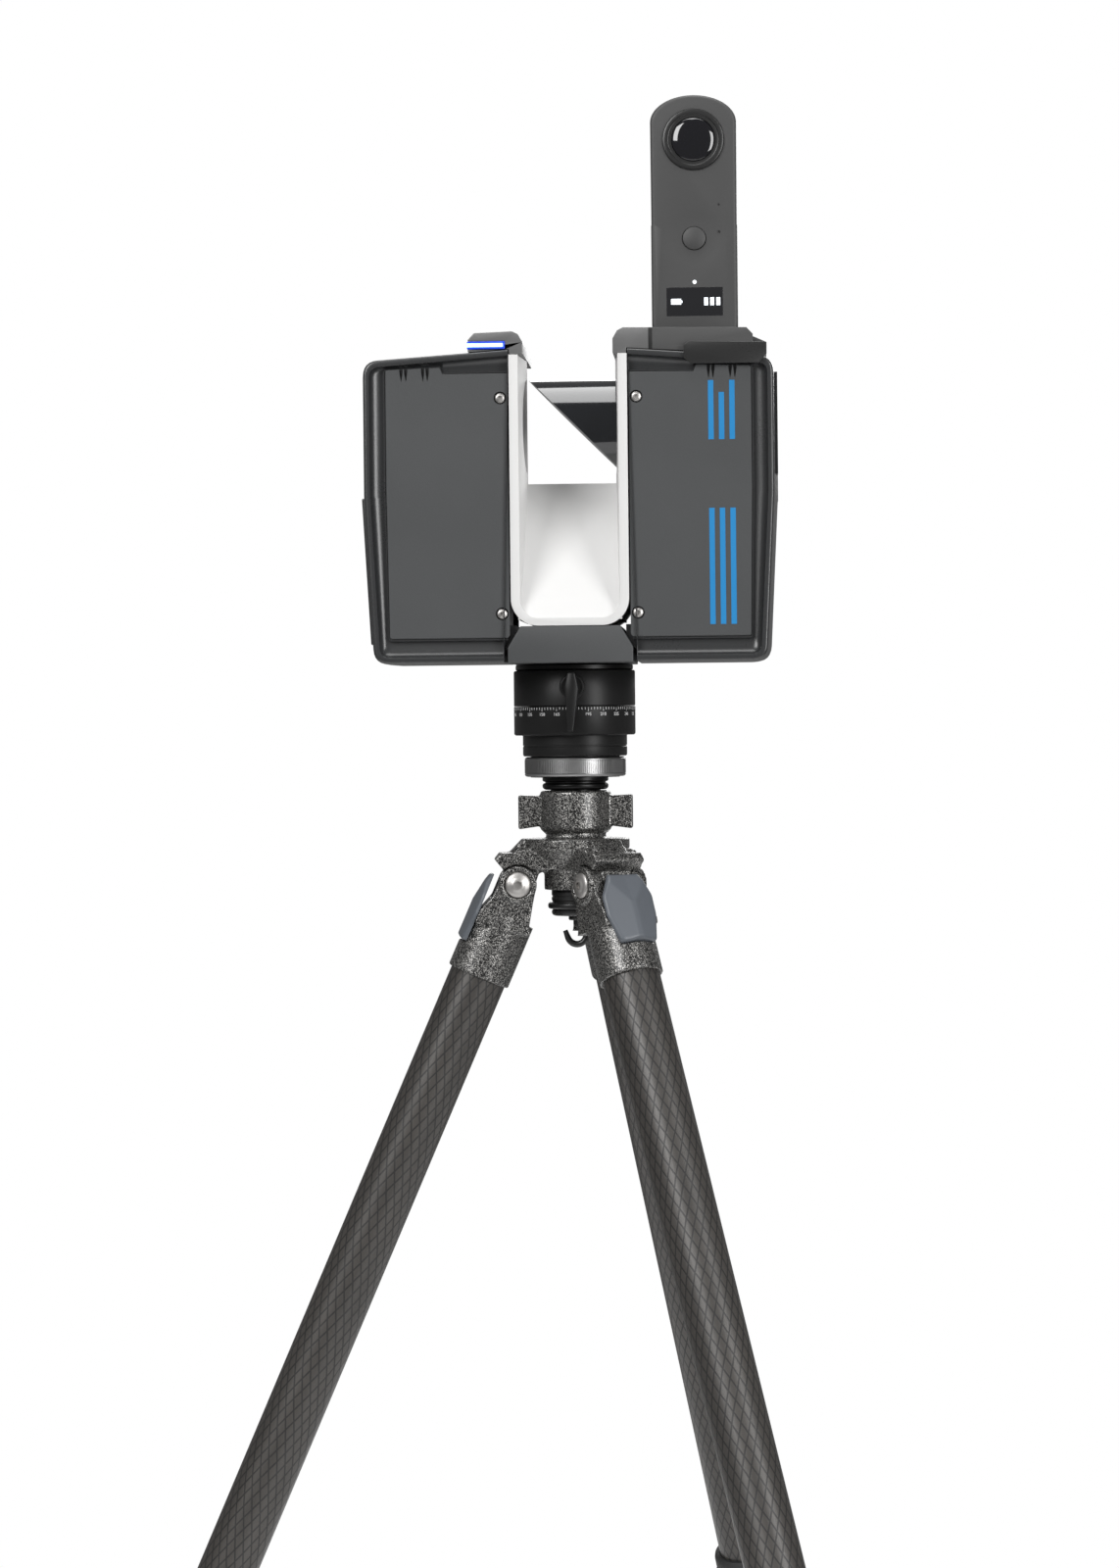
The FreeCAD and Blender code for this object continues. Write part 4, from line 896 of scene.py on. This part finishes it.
cast_node("tripod_hub", 0.8 * MM, 3, enamel)
cast_node("column_lock_collar", 0.7 * MM, 4, enamel)
turned_node("column_tube", [(12.5, -4.8), (14, -4.8), (14, 52.5), (12.5, 52.5)], black_metal)
turned_node("column_top_plate", [
    (0, 52.5), (16.6, 52.5), (17.6, 52.9), (18.3, 53.6), (18.5, 54.4), (18.5, 55.2), (18.0, 56.0),
    (17.0, 56.3), (17.0, 56.9), (18.0, 57.2), (18.5, 57.8), (18.5, 59.5), (25, 59.5), (25, 71.3),
    (4.7, 71.3), (4.7, 80.3), (0, 80.3)], black_metal)
turned_node("column_end_cap", [
    (2.05, -18), (12.2, -18), (13.4, -17.5), (14, -16.4), (14, -15.2), (13.5, -14.8), (13.5, -14.3),
    (15.2, -14.0), (15.9, -13.4), (16.1, -12.3), (15.9, -11.2), (15.2, -10.6), (13.6, -10.4), (13.6, -9.6),
    (14, -9.2), (14, -7.8), (13.6, -7.4), (13.6, -6.8), (14, -6.4), (14, -4.8), (12, -4.8), (12, 4.7),
    (4.1, 4.7), (4.1, -12.3), (2.05, -12.3)], lens_black)


def weight_hook():
    """A bent steel hook with a rounded tip, on its swivelling stem."""
    low = PIVOT - 18 * MM
    stem = turned("stem", [(0, -5), (2, -5), (2, 6), (3.8, 6), (3.8, 8), (0, 8)], 32, low)
    nut = turned("nut", [(2, -2.6), (4.2, -2.6), (4.6, -2.1), (4.6, -0.6), (4, -0.1), (2, -0.1)], 40, low)
    centre = low - 11 * MM
    route = [(0, 0, low - 4 * MM)]
    route += [(5.5 * MM * math.cos(math.radians(a)), 0, centre + 5.5 * MM * math.sin(math.radians(a)))
              for a in (84, 52, 20, -15, -50, -85, -120, -155, -178)]
    route.append((-6.6 * MM, 0, centre + 2.6 * MM))
    wire = bent_rod("wire", route, 1.9 * MM, 8, [1, 1, 1, 1, 1, 1, 1, 1, 0.95, 0.85, 0.7])
    item = smooth(joined("weight_hook_wire", [stem, nut, wire]), 40)
    finish_piece(item, "weight_hook", lens_black)


weight_hook()


# --- lock ring and adapter --------------------------------------------------------------------

def thread_ring():
    """A silver ring, finely knurled but for one smooth patch."""
    profile = [(25.05, 59.9), (27.0, 59.9), (27.9, 60.3), (28.3, 61.0), (28.3, 61.6), (27.9, 61.8),
               (27.9, 69.2), (28.3, 69.4), (28.3, 69.8), (27.8, 70.5), (27.0, 70.9), (25.05, 70.9)]
    band = smooth(turned("band", profile, 120, PIVOT), 35)
    patch_start, patch_sweep = math.radians(-42), math.radians(24)
    knurl = ring_of("knurl", ring_silver, 150, 27.95 * MM, (0.8 * MM, 0.62 * MM, 7.3 * MM), 0.0,
                    PIVOT + 65.5 * MM, patch_start + patch_sweep, patch_sweep)
    patch = turned("patch", [(27, 61.9), (28.32, 61.9), (28.32, 69.1), (27, 69.1)], 240, PIVOT)
    work = bmesh.new()
    work.from_mesh(patch.data)
    outside = [vertex for vertex in work.verts
               if not patch_start <= math.atan2(vertex.co.y, vertex.co.x) <= patch_start + patch_sweep]
    bmesh.ops.delete(work, geom=outside, context="VERTS")
    bmesh.ops.holes_fill(work, edges=work.edges)
    bmesh.ops.recalc_face_normals(work, faces=work.faces)
    work.to_mesh(patch.data)
    work.free()
    item = joined("thread_ring_knurled", [paint(band, ring_silver), knurl, paint(patch, ring_silver)])
    placed_piece(item, "thread_ring")


def wrapped(item, radius, height):
    """Bend a flat drawing (X across, Y up, Z out) round a vertical cylinder, facing the front."""
    for vertex in item.data.vertices:
        angle = vertex.co.x / radius - math.pi / 2
        reach = radius + vertex.co.z
        vertex.co = (reach * math.cos(angle), reach * math.sin(angle), height + vertex.co.y)
    return item


def lettering(name, words, size, place, material, depth=0.08 * MM):
    """Plain digits as a thin raised mesh, centred on a place in the drawing's plane."""
    text = bpy.data.curves.new(name, "FONT")
    text.body = words
    text.size = size
    text.align_x = "CENTER"
    text.align_y = "CENTER"
    text.extrude = depth
    text.resolution_u = 2
    item = bpy.data.objects.new(name, text)
    bpy.context.scene.collection.objects.link(item)
    bpy.context.view_layer.update()
    mesh = bpy.data.meshes.new_from_object(
        item.evaluated_get(bpy.context.evaluated_depsgraph_get()))
    bpy.data.objects.remove(item)
    flat = add_object(name, mesh)
    flat.data.transform(Matrix.Translation((place[0], place[1], 0)))
    tidy(flat)
    return paint(flat, material)


def adapter():
    """Split black drum: the base carries a degree scale, the head a clamping knob."""
    base_profile = [(4.7, 71.3), (28.4, 71.3), (29.0, 71.7), (29.2, 72.4), (29.2, 76.4), (28.9, 76.7),
                    (28.9, 77.3), (29.2, 77.6), (29.2, 82.7), (29.6, 83.0), (33.0, 83.0), (33.7, 83.4),
                    (34, 84.1), (34, 98.9), (33.8, 99.1), (20, 99.1), (20, 111.2), (4.7, 111.2)]
    base = smooth(turned("drum", base_profile, 144, PIVOT), 35)
    paint(base, adapter_black)
    top = PIVOT + 99.0 * MM
    drawing = [base]
    for name, count, tall in (("fine_ticks", 120, 1.3), ("middle_ticks", 24, 2.1)):
        ticks = ring_of(name, scale_white, count, 34.0 * MM, (0.12 * MM, 0.26 * MM, tall * MM), 0.0,
                        top - (0.5 + tall / 2) * MM, math.radians(-90))
        drawing.append(ticks)
    for step in range(24):
        digits = lettering("digits", str((180 + 15 * step) % 360), 2.5 * MM, (0, 0), scale_white, 0.05 * MM)
        digits.data.transform(Matrix.Translation((34.02 * MM * math.radians(15 * step), 0, 0)))
        drawing.append(wrapped(digits, 34.02 * MM, top - 4.4 * MM))
    item = joined("adapter_base_drum", drawing)
    placed_piece(item, "adapter_base")

    turned_node("adapter_head", [
        (20.05, 99.3), (33.6, 99.3), (34, 99.6), (34, 118.4), (33.6, 119.0), (33.0, 119.2), (15, 119.2),
        (15, 111.3), (20.05, 111.3)], adapter_black, 144)
    turned_node("azimuth_bearing", [
        (0, 119.3), (32.2, 119.3), (32.9, 119.8), (32.9, 121.9), (32.3, 122.5), (15, 122.6), (15, 134.8),
        (0, 134.8)], black_metal, 120)


def clamp_knob():
    """Round knob with a thick tapering blade that leans as it is left."""
    height = PIVOT + 109.9 * MM
    disc = [(0, 0), (7.0, 0), (7.0, 9.2), (6.5, 9.9), (5.8, 10.1), (0, 10.1)]
    knob = turned("disc", disc, 56)
    groove = turned("groove", [(5, 9.7), (5.5, 9.7), (5.5, 11), (5, 11)], 56)
    boolean(knob, groove)
    moved(knob, Matrix.Translation((0, -27 * MM, height)) @ Matrix.Rotation(math.radians(90), 4, "X"))
    outline = rounded_outline([(-2.6, 7.6, 1.6), (1.4, 8.0, 1.6), (3.9, -1.0, 6), (2.6, -24.8, 0.9),
                               (-0.7, -24.9, 0.9), (-3.7, -0.5, 6)], 6)
    blade = slab("blade", [(x * MM, z * MM) for x, z in outline], -44.6 * MM, -35.4 * MM)
    moved(blade, Matrix.Translation((0, 0, height)) @ Matrix.Rotation(math.radians(4), 4, "Y"))
    soften(blade, 0.9 * MM, 3)
    item = smooth(joined("adapter_knob_blade", [knob, blade]), 35)
    finish_piece(item, "adapter_lock_knob", adapter_black)


def rounded_outline(corners, steps=6):
    """A closed outline from (across, up, radius) corners; each corner gives the same number of points."""
    points = []
    for index, (across, up, radius) in enumerate(corners):
        here = Vector((across, up))
        before = Vector(corners[index - 1][:2]) - here
        after = Vector(corners[(index + 1) % len(corners)][:2]) - here
        half = before.angle(after) / 2
        if math.pi / 2 - half < 0.004:
            half = math.pi / 2 - 0.004
        reach = min(radius / math.tan(half), 0.48 * before.length, 0.48 * after.length)
        start, end = here + before.normalized() * reach, here + after.normalized() * reach
        for step in range(steps + 1):
            share = step / steps
            first = start.lerp(here, share)
            second = here.lerp(end, share)
            points.append(tuple(first.lerp(second, share)))
    return points


def loft(name, rings, closed=False):
    """Skin between rings of equal count; flat ends, or the last ring joined to the first."""
    count = len(rings[0])
    vertices = [point for ring in rings for point in ring]
    faces = []
    spans = len(rings) if closed else len(rings) - 1
    for span in range(spans):
        low, high = span * count, (span + 1) % len(rings) * count
        faces += [[low + k, low + (k + 1) % count, high + (k + 1) % count, high + k] for k in range(count)]
    if not closed:
        faces += [list(range(count)), list(range((len(rings) - 1) * count, len(rings) * count))]
    return mesh_object(name, vertices, faces)


thread_ring()
adapter()
clamp_knob()


# --- scanner case -----------------------------------------------------------------------------

BASE = JOINTS["head_turn"]["pos_m"][2]
FACE = 51.5
SWELL, WAIST, SWELL_END = 115.0, 112.7, 20.6


def half_width(depth):
    """How far the case reaches sideways: full in the middle, drawn in to the front and rear."""
    share = max(abs(depth) - SWELL_END, 0) / (FACE - SWELL_END)
    return SWELL - (SWELL - WAIST) * share ** 1.3


def case_edge(width):
    """Outer outline of a column at a half-width; corners in order round the panel."""
    slope = (172.4 - 166.9) / (width - 32.7)
    return rounded_outline([
        (32.7, 172.4, 0.3), (69.0, 172.4 - 36.3 * slope, 0.3), (70.5, 172.4 - 37.8 * slope, 0.3),
        (width, 166.9, 9), (width, 93, 60), (width - 4.7, 0.5, 8.5), (36.4, 0.5, 0.5), (36.4, 8.9, 0.3),
    ])


def rim_edge(inset=0.0):
    """Inner edge of the case's front rim, where the panel's trough begins."""
    return rounded_outline([
        (33.0, 169.0 - inset, 0.3), (69.0, 166.3 - inset, 0.3), (70.5, 166.2 - inset, 0.3),
        (109.3 - inset, 163.4 - inset, 6), (109.3 - inset, 93, 60), (104.6 - inset, 3.9 + inset, 5.5),
        (37.0, 3.9 + inset, 0.5), (36.9, 9.2, 0.3),
    ])


def face_edge():
    """Outline of a panel's raised face, with the tab along its upper outer part."""
    return rounded_outline([
        (33.4, 159.4, 0.3), (69.0, 159.4, 0.8), (70.5, 163.0, 0.8), (100.6, 162.0, 1.2),
        (100.6, 93, 60), (99.4, 14, 1.4), (34.2, 14, 0.4), (33.4, 15.4, 0.3),
    ])


def blend_edge(first, second, share):
    """An outline part of the way from one to another."""
    return [(a + (c - a) * share, b + (d - b) * share) for (a, b), (c, d) in zip(first, second)]


def ring_at(outline, side, depth):
    """An outline as 3-D points on the left or right, at a depth."""
    return [(side * across * MM, depth * MM, BASE + up * MM) for across, up in outline]


def case_shell(side, name):
    """Hard case of one column, with a rounded rim front and rear."""
    rim, narrow = rim_edge(), case_edge(WAIST)
    front = [(0, 44.8), (0, 51.0), (0.10, 51.42), (0.28, 51.5), (0.66, 51.5), (0.86, 51.25), (0.97, 50.7)]
    rings = [ring_at(blend_edge(rim, narrow, share), side, -depth) for share, depth in front]
    for depth in (-49.8, -48, -42, -35, -28, -SWELL_END, -7, 7, SWELL_END, 28, 35, 42, 48, 49.8):
        rings.append(ring_at(case_edge(half_width(depth)), side, depth))
    rings += [ring_at(blend_edge(rim, narrow, share), side, depth) for share, depth in reversed(front)]
    return smooth(loft(name, rings, closed=True), 40)


def block(name, low, high):
    """A box between two corners, in millimetres from the scanner's underside."""
    corners = [(low[0], low[2]), (high[0], low[2]), (high[0], high[2]), (low[0], high[2])]
    item = slab(name, [(x * MM, BASE + z * MM) for x, z in corners], low[1] * MM, high[1] * MM)
    return item


def with_inner_corner(name, item, side):
    """The case with its lower inner corner, which closes the column below the silver frame's bend."""
    low, high = sorted((side * 30.5, side * 36.8))
    return joined(name, [item, block("inner_corner", (low, -44, 8.6), (high, 44, 21))])


def case_left():
    """Left case, open for its battery door."""
    item = case_shell(-1, "left_case")
    boolean(item, block("room", (-120, -41.3, 10.7), (-100, 41.3, 92.4)))
    bore = turned("bore", [(0, -20), (26.4, -20), (26.4, 30), (0, 30)], 72)
    boolean(item, moved(bore, turned_up((-45 * MM, 0, BASE + 132.9 * MM), (1, 0, 0))))
    item = with_inner_corner("left_case", smooth(item, 38), -1)
    finish_piece(item, "left_shell", case_dark)


def case_right():
    """Right case, let in for its screen and button, with the mirror's passage."""
    item = case_shell(1, "right_case")
    boolean(item, block("recess", (112.9, -42.2, 102.8), (120, 42.2, 159.2)))
    hole = turned("hole", [(0, 0), (4.25, 0), (4.25, 20), (0, 20)], 40)
    boolean(item, moved(hole, turned_up((105 * MM, 34 * MM, BASE + 95 * MM), (1, 0, 0))))
    bore = turned("bore", [(0, -20), (26.7, -20), (26.7, 30), (0, 30)], 72)
    boolean(item, moved(bore, turned_up((45 * MM, 0, BASE + 132.9 * MM), (1, 0, 0))))
    item = with_inner_corner("right_case", smooth(item, 38), 1)
    finish_piece(item, "right_shell", case_dark)


NOTCHES = (77.3, 79.8, 89.2, 91.8)
SCREWS = ((37.4, 145.9), (37.4, 27.2))


WELL_STEPS = 40


def sink_wells(item, spots, radius, deep, end):
    """Round flat-bottomed wells let into the flat front face of a panel."""
    work = bmesh.new()
    work.from_mesh(item.data)
    # the widest outward face; the trough's outer edge reaches further forward than the flat face
    front = max(work.faces, key=lambda face: face.calc_area() if end * face.normal.y > 0.99 else 0.0)
    outline = list(front.edges)
    bmesh.ops.delete(work, geom=[front], context="FACES_ONLY")
    level = outline[0].verts[0].co.y
    rims = []
    for across, up in spots:
        circle = [(radius * math.cos(math.tau * k / WELL_STEPS), radius * math.sin(math.tau * k / WELL_STEPS))
                  for k in range(WELL_STEPS)]
        top, low = [[work.verts.new((across + x, depth, up + z)) for x, z in circle]
                    for depth in (level, level - end * deep)]
        for k in range(WELL_STEPS):
            work.faces.new([top[k], top[(k + 1) % WELL_STEPS], low[(k + 1) % WELL_STEPS], low[k]])
            rims.append(work.edges.get((top[k], top[(k + 1) % WELL_STEPS])))
        work.faces.new(low)
    bmesh.ops.triangle_fill(work, edges=outline + rims, normal=(0, end, 0), use_beauty=True)
    bmesh.ops.recalc_face_normals(work, faces=work.faces)
    work.to_mesh(item.data)
    work.free()
    return item


def panel(side, end, node):
    """Textured face, a fine lip round it, and a smooth concave trough out to the case's rim."""
    face, rim = face_edge(), rim_edge(0.06)
    steps = [(-0.045, 50.0), (0.0, 49.7), (0.0, 48.3), (0.04, 48.3), (0.05, 49.0), (0.12, 49.0), (0.14, 48.5)]
    rings = [ring_at(blend_edge(face, rim, share), side, end * depth) for share, depth in steps]
    for step in range(11):
        turn = math.radians(9 * step)
        share, depth = 0.15 + 0.85 * math.sin(turn), 50.9 - 4.4 * math.cos(turn)
        rings.append(ring_at(blend_edge(face, rim, share), side, end * depth))
    rings.append(ring_at(rim, side, end * 45.1))
    item = loft(f"{node}_face", rings)
    wells = [(side * across * MM, BASE + up * MM) for across, up in SCREWS]
    sink_wells(item, wells, 3.5 * MM, 2.4 * MM, end)
    low, high = sorted((end * 47.5, end * 52.5))
    for across in NOTCHES:
        wedge = [(across - 1.15, 166), (across + 1.15, 166), (across + 0.85, 160), (across + 0.1, 155.6),
                 (across - 0.1, 155.6), (across - 0.85, 160)]
        boolean(item, slab("wedge", [(side * x * MM, BASE + z * MM) for x, z in wedge], low * MM, high * MM))
    smooth(item, 30)
    trough = [index for index, polygon in enumerate(item.data.polygons)
              if not in_face(polygon.center, side) or abs(polygon.center.y) < 49.6 * MM]
    finish_piece(item, node, panel_grey, case_dark)
    for index in trough:
        item.data.polygons[index].material_index = 1


def in_face(point, side):
    """Whether a point lies over the raised face rather than the trough."""
    across, up = side * point.x / MM, (point.z - BASE) / MM
    return across < 100.9 and 13.8 < up < 163.2


def stripes():
    """Two groups of three thin blue bars on the right front panel."""
    bars = [(78.4, 121.7, 154.2), (84.2, 121.7, 147.6), (90.0, 121.7, 154.2),
            (78.4, 20.3, 84.1), (84.2, 20.3, 84.1), (90.0, 20.3, 84.1)]
    pieces = [block("bar", (across - 1.5, -50.12, low), (across + 1.5, -49.6, high))
              for across, low, high in bars]
    item = joined("right_front_stripes", pieces)
    finish_piece(soften(item, 0.04 * MM, 1), "right_front_panel", stripe_blue, stands=False)


def panel_screws():
    """Eight button heads with hexagonal sockets, each in its dark seat."""
    heads = []
    for side in (-1, 1):
        for end in (-1, 1):
            for across, up in SCREWS:
                head = hex_bolt("head", 3.05 * MM, 1.7 * MM, 1.15 * MM, 28)
                place = (side * across * MM, end * 48.3 * MM, BASE + up * MM)
                heads.append(moved(head, turned_up(place, (0, end, 0))))
    finish_piece(joined("panel_screw_heads", heads), "panel_screws", bolt_steel)


case_left()
case_right()
for side, side_name in ((-1, "left"), (1, "right")):
    for end, end_name in ((-1, "front"), (1, "rear")):
        panel(side, end, f"{side_name}_{end_name}_panel")
stripes()
panel_screws()


def softened_node(node, width, material, segments=3, angle=28):
    """A CAD node with its hard edges rounded."""
    item = soften(copy_of(f"{node}_soft", node), width, segments, angle)
    finish_piece(item, node, material)
    return item


softened_node("centre_frame", 0.9 * MM, frame_silver)
softened_node("centre_cover", 0.7 * MM, panel_grey)
softened_node("battery_door", 0.8 * MM, case_dark)
softened_node("light_housing", 1.3 * MM, cap_grey, 4)
dress("mirror_motor", inner_metal)
dress("laser_unit", battery_black)
dress("laser_window", dark_glass)
dress("battery", battery_black)
dress("circuit_board", board_green)
dress("power_button", cap_grey)
dress("touch_screen", dark_glass)


# --- mirror, status light, mount and camera ----------------------------------------------------

def extent(node):
    """The lowest and highest corner of a CAD node."""
    spots = [vertex.co for vertex in frame["nodes"][node].data.vertices]
    return [Vector([pick(spot[k] for spot in spots) for k in range(3)]) for pick in (min, max)]


def split_at(item, axis, place):
    """Cut the faces along a plane square to an axis, leaving the shape as it is."""
    normal = [1.0 if k == axis else 0.0 for k in range(3)]
    point = [place if k == axis else 0.0 for k in range(3)]
    work = bmesh.new()
    work.from_mesh(item.data)
    everything = work.verts[:] + work.edges[:] + work.faces[:]
    bmesh.ops.bisect_plane(work, geom=everything, dist=1e-6, plane_co=point, plane_no=normal)
    work.to_mesh(item.data)
    work.free()
    return item


def spinning_mirror():
    """Dark glossy barrel with its slanted mirror face."""
    item = smooth(copy_of("mirror_barrel", "mirror"), 30)
    slanted = [abs(polygon.normal.x) > 0.55 and abs(polygon.normal.z) > 0.5 and abs(polygon.normal.y) < 0.05
               for polygon in item.data.polygons]
    finish_piece(item, "mirror", mirror_black, mirror_face)
    for polygon, face in zip(item.data.polygons, slanted):
        polygon.material_index = int(face)


def lit_bar():
    """Status light: a saturated rim with a paler bar standing a hair proud of it."""
    low, high = extent("status_light")
    rim = slab("rim", [(low.x, low.z), (high.x, low.z), (high.x, high.z), (low.x, high.z)], low.y, high.y)
    rim = paint(soften(rim, 0.5 * MM, 2), light_rim)
    edge = 0.22 * (high.z - low.z)
    inner = [(low.x - 0.15 * MM, low.z + edge), (high.x - edge, low.z + edge),
             (high.x - edge, high.z - edge), (low.x - 0.15 * MM, high.z - edge)]
    core = slab("core", inner, low.y - 0.15 * MM, high.y - edge)
    core = paint(soften(core, 0.5 * MM, 2), light_core)
    placed_piece(joined("status_light_bar", [rim, core]), "status_light")


SEAM_START, SEAM_END = 44.4, 46.6
PLATE_BACK = -51.7


def mount_cap():
    """Camera mount: pale rounded inner end, a dark seam, and a dark front plate."""
    item = soften(copy_of("camera_mount_skin", "camera_mount"), 0.9 * MM, 3)
    for place in (SEAM_START, SEAM_END):
        split_at(item, 0, place * MM)
    finish_piece(item, "camera_mount", mount_grey, cap_grey, dark_trim_and_hole_shade)
    for polygon in item.data.polygons:
        across, depth = polygon.center.x / MM, polygon.center.y / MM
        if across < SEAM_START:
            polygon.material_index = 1
        elif across < SEAM_END or depth < PLATE_BACK:
            polygon.material_index = 2


CAMERA_LOW, CAMERA_HIGH = extent("camera_body")
CAMERA_X = (CAMERA_LOW.x + CAMERA_HIGH.x) / 2
CAMERA_Y = (CAMERA_LOW.y + CAMERA_HIGH.y) / 2
CAMERA_Z = CAMERA_LOW.z
HALF, TALL, DEEP = 24.0, 132.5, 12.0
ARCH_BASE, ARCH_RISE = 117.3, 15.2
LENS_UP, BUTTON_UP, DISPLAY_UP = 107.5, 52.5, 17.2


def on_camera(across, up, proud=0.0, end=-1):
    """A place on the camera's front or rear face, facing outwards."""
    centre = (CAMERA_X + across * MM, CAMERA_Y + end * (DEEP + proud) * MM, CAMERA_Z + up * MM)
    return turned_up(centre, (0, end, 0))


def camera_case():
    """Upright case with an arched top, rounded edges and a shallow thumb rest."""
    arch = [(HALF * math.cos(math.radians(a)), ARCH_BASE + ARCH_RISE * math.sin(math.radians(a)))
            for a in range(0, 181, 5)]
    foot = rounded_outline([(-HALF, 60, 0.2), (-HALF, 0, 4.5), (HALF, 0, 4.5), (HALF, 60, 0.2)], 6)
    outline = arch + foot
    rings = []
    for inset, depth in ((1.9, -12), (1.2, -11.85), (0.6, -11.5), (0.2, -10.9), (0, -10), (0, 10),
                         (0.2, 10.9), (0.6, 11.5), (1.2, 11.85), (1.9, 12)):
        wide, high = (HALF - inset) / HALF, (TALL / 2 - inset) / (TALL / 2)
        rings.append([(CAMERA_X + x * wide * MM, CAMERA_Y + depth * MM,
                       CAMERA_Z + (TALL / 2 + (z - TALL / 2) * high) * MM) for x, z in outline])
    item = loft("camera_case", rings)
    dish = turned("dish", [(0, -0.9), (9, -0.8), (14, -0.5), (17.8, 0.02), (17.8, 3), (0, 3)], 72)
    boolean(item, moved(dish, on_camera(0, BUTTON_UP)))
    groove = turned("groove", [(0, -2.5), (6.7, -2.5), (6.7, 3), (0, 3)], 56)
    boolean(item, moved(groove, on_camera(0, BUTTON_UP)))
    finish_piece(smooth(item, 32), "camera_body", camera_grey)


def camera_eyes():
    """A stepped bezel and a bulging glass on each face."""
    pieces = []
    for end in (-1, 1):
        bezel = turned("bezel", [
            (11.9, 0.0), (17.2, 0.0), (17.2, 0.7), (16.8, 1.3), (16.0, 1.6), (14.7, 1.5), (14.3, 1.0),
            (13.9, 0.85), (12.5, 0.95), (12.2, 0.6)], 96)
        dome = [(0, 0), (12.2 * MM, 0), (12.2 * MM, 0.55 * MM)]
        dome += [(12.2 * math.sin(math.radians(a)) * MM, (0.55 + 2.3 * math.cos(math.radians(a))) * MM)
                 for a in range(80, 0, -10)] + [(0, 2.85 * MM)]
        glass = lathe("glass", dome, 96)
        for item, material in ((bezel, lens_black), (glass, lens_glass)):
            pieces.append(paint(smooth(moved(item, on_camera(0, LENS_UP, 0, end)), 34), material))
    placed_piece(joined("camera_eyes", pieces), "camera_lenses")


def camera_details():
    """Shutter button, lamp, display, and the microphone holes as flat dark discs of painted shade."""
    cap = lathe("cap", [(0, -1.6 * MM), (6.3 * MM, -1.6 * MM), (6.3 * MM, 0), (5.9 * MM, 0.22 * MM),
                        (0, 0.28 * MM)], 56)
    finish_piece(smooth(moved(cap, on_camera(0, BUTTON_UP)), 40), "camera_button", camera_grey)
    pieces = []
    screen = slab("screen", [(-15.7 * MM, -8 * MM), (15.7 * MM, -8 * MM), (15.7 * MM, 8 * MM),
                             (-15.7 * MM, 8 * MM)], -0.5 * MM, 0.12 * MM, "z")
    pieces.append(paint(moved(soften(screen, 0.1 * MM, 1), on_camera(0, DISPLAY_UP)), dark_glass))
    # the first dot is the lamp; the other two stand for the microphone holes as flat near-black discs, painted
    # shade in place of real holes
    for x, z, radius, material in ((0, 28.1, 1.1, display_white), (13.9, 71.1, 0.6, dark_trim_and_hole_shade),
                                   (13.9, 56.1, 0.6, dark_trim_and_hole_shade)):
        dot = turned("dot", [(0, -0.4), (radius, -0.4), (radius, 0.1), (0, 0.1)], 20)
        pieces.append(paint(moved(dot, on_camera(x, z)), material))
    for low, high, bottom, top in ((-13.2, -7.6, -1.6, 1.6), (-7.6, -6.9, -0.7, 0.7),
                                   (5.2, 7.4, -2.2, 2.2), (8.6, 10.8, -2.2, 2.2), (12.0, 14.2, -2.2, 2.2)):
        mark = slab("mark", [(low * MM, bottom * MM), (high * MM, bottom * MM), (high * MM, top * MM),
                             (low * MM, top * MM)], 0.05 * MM, 0.18 * MM, "z")
        pieces.append(paint(moved(mark, on_camera(0, DISPLAY_UP)), display_white))
    placed_piece(joined("camera_marks", pieces), "camera_body", stands=False)


spinning_mirror()
lit_bar()
mount_cap()
camera_case()
camera_eyes()
camera_details()
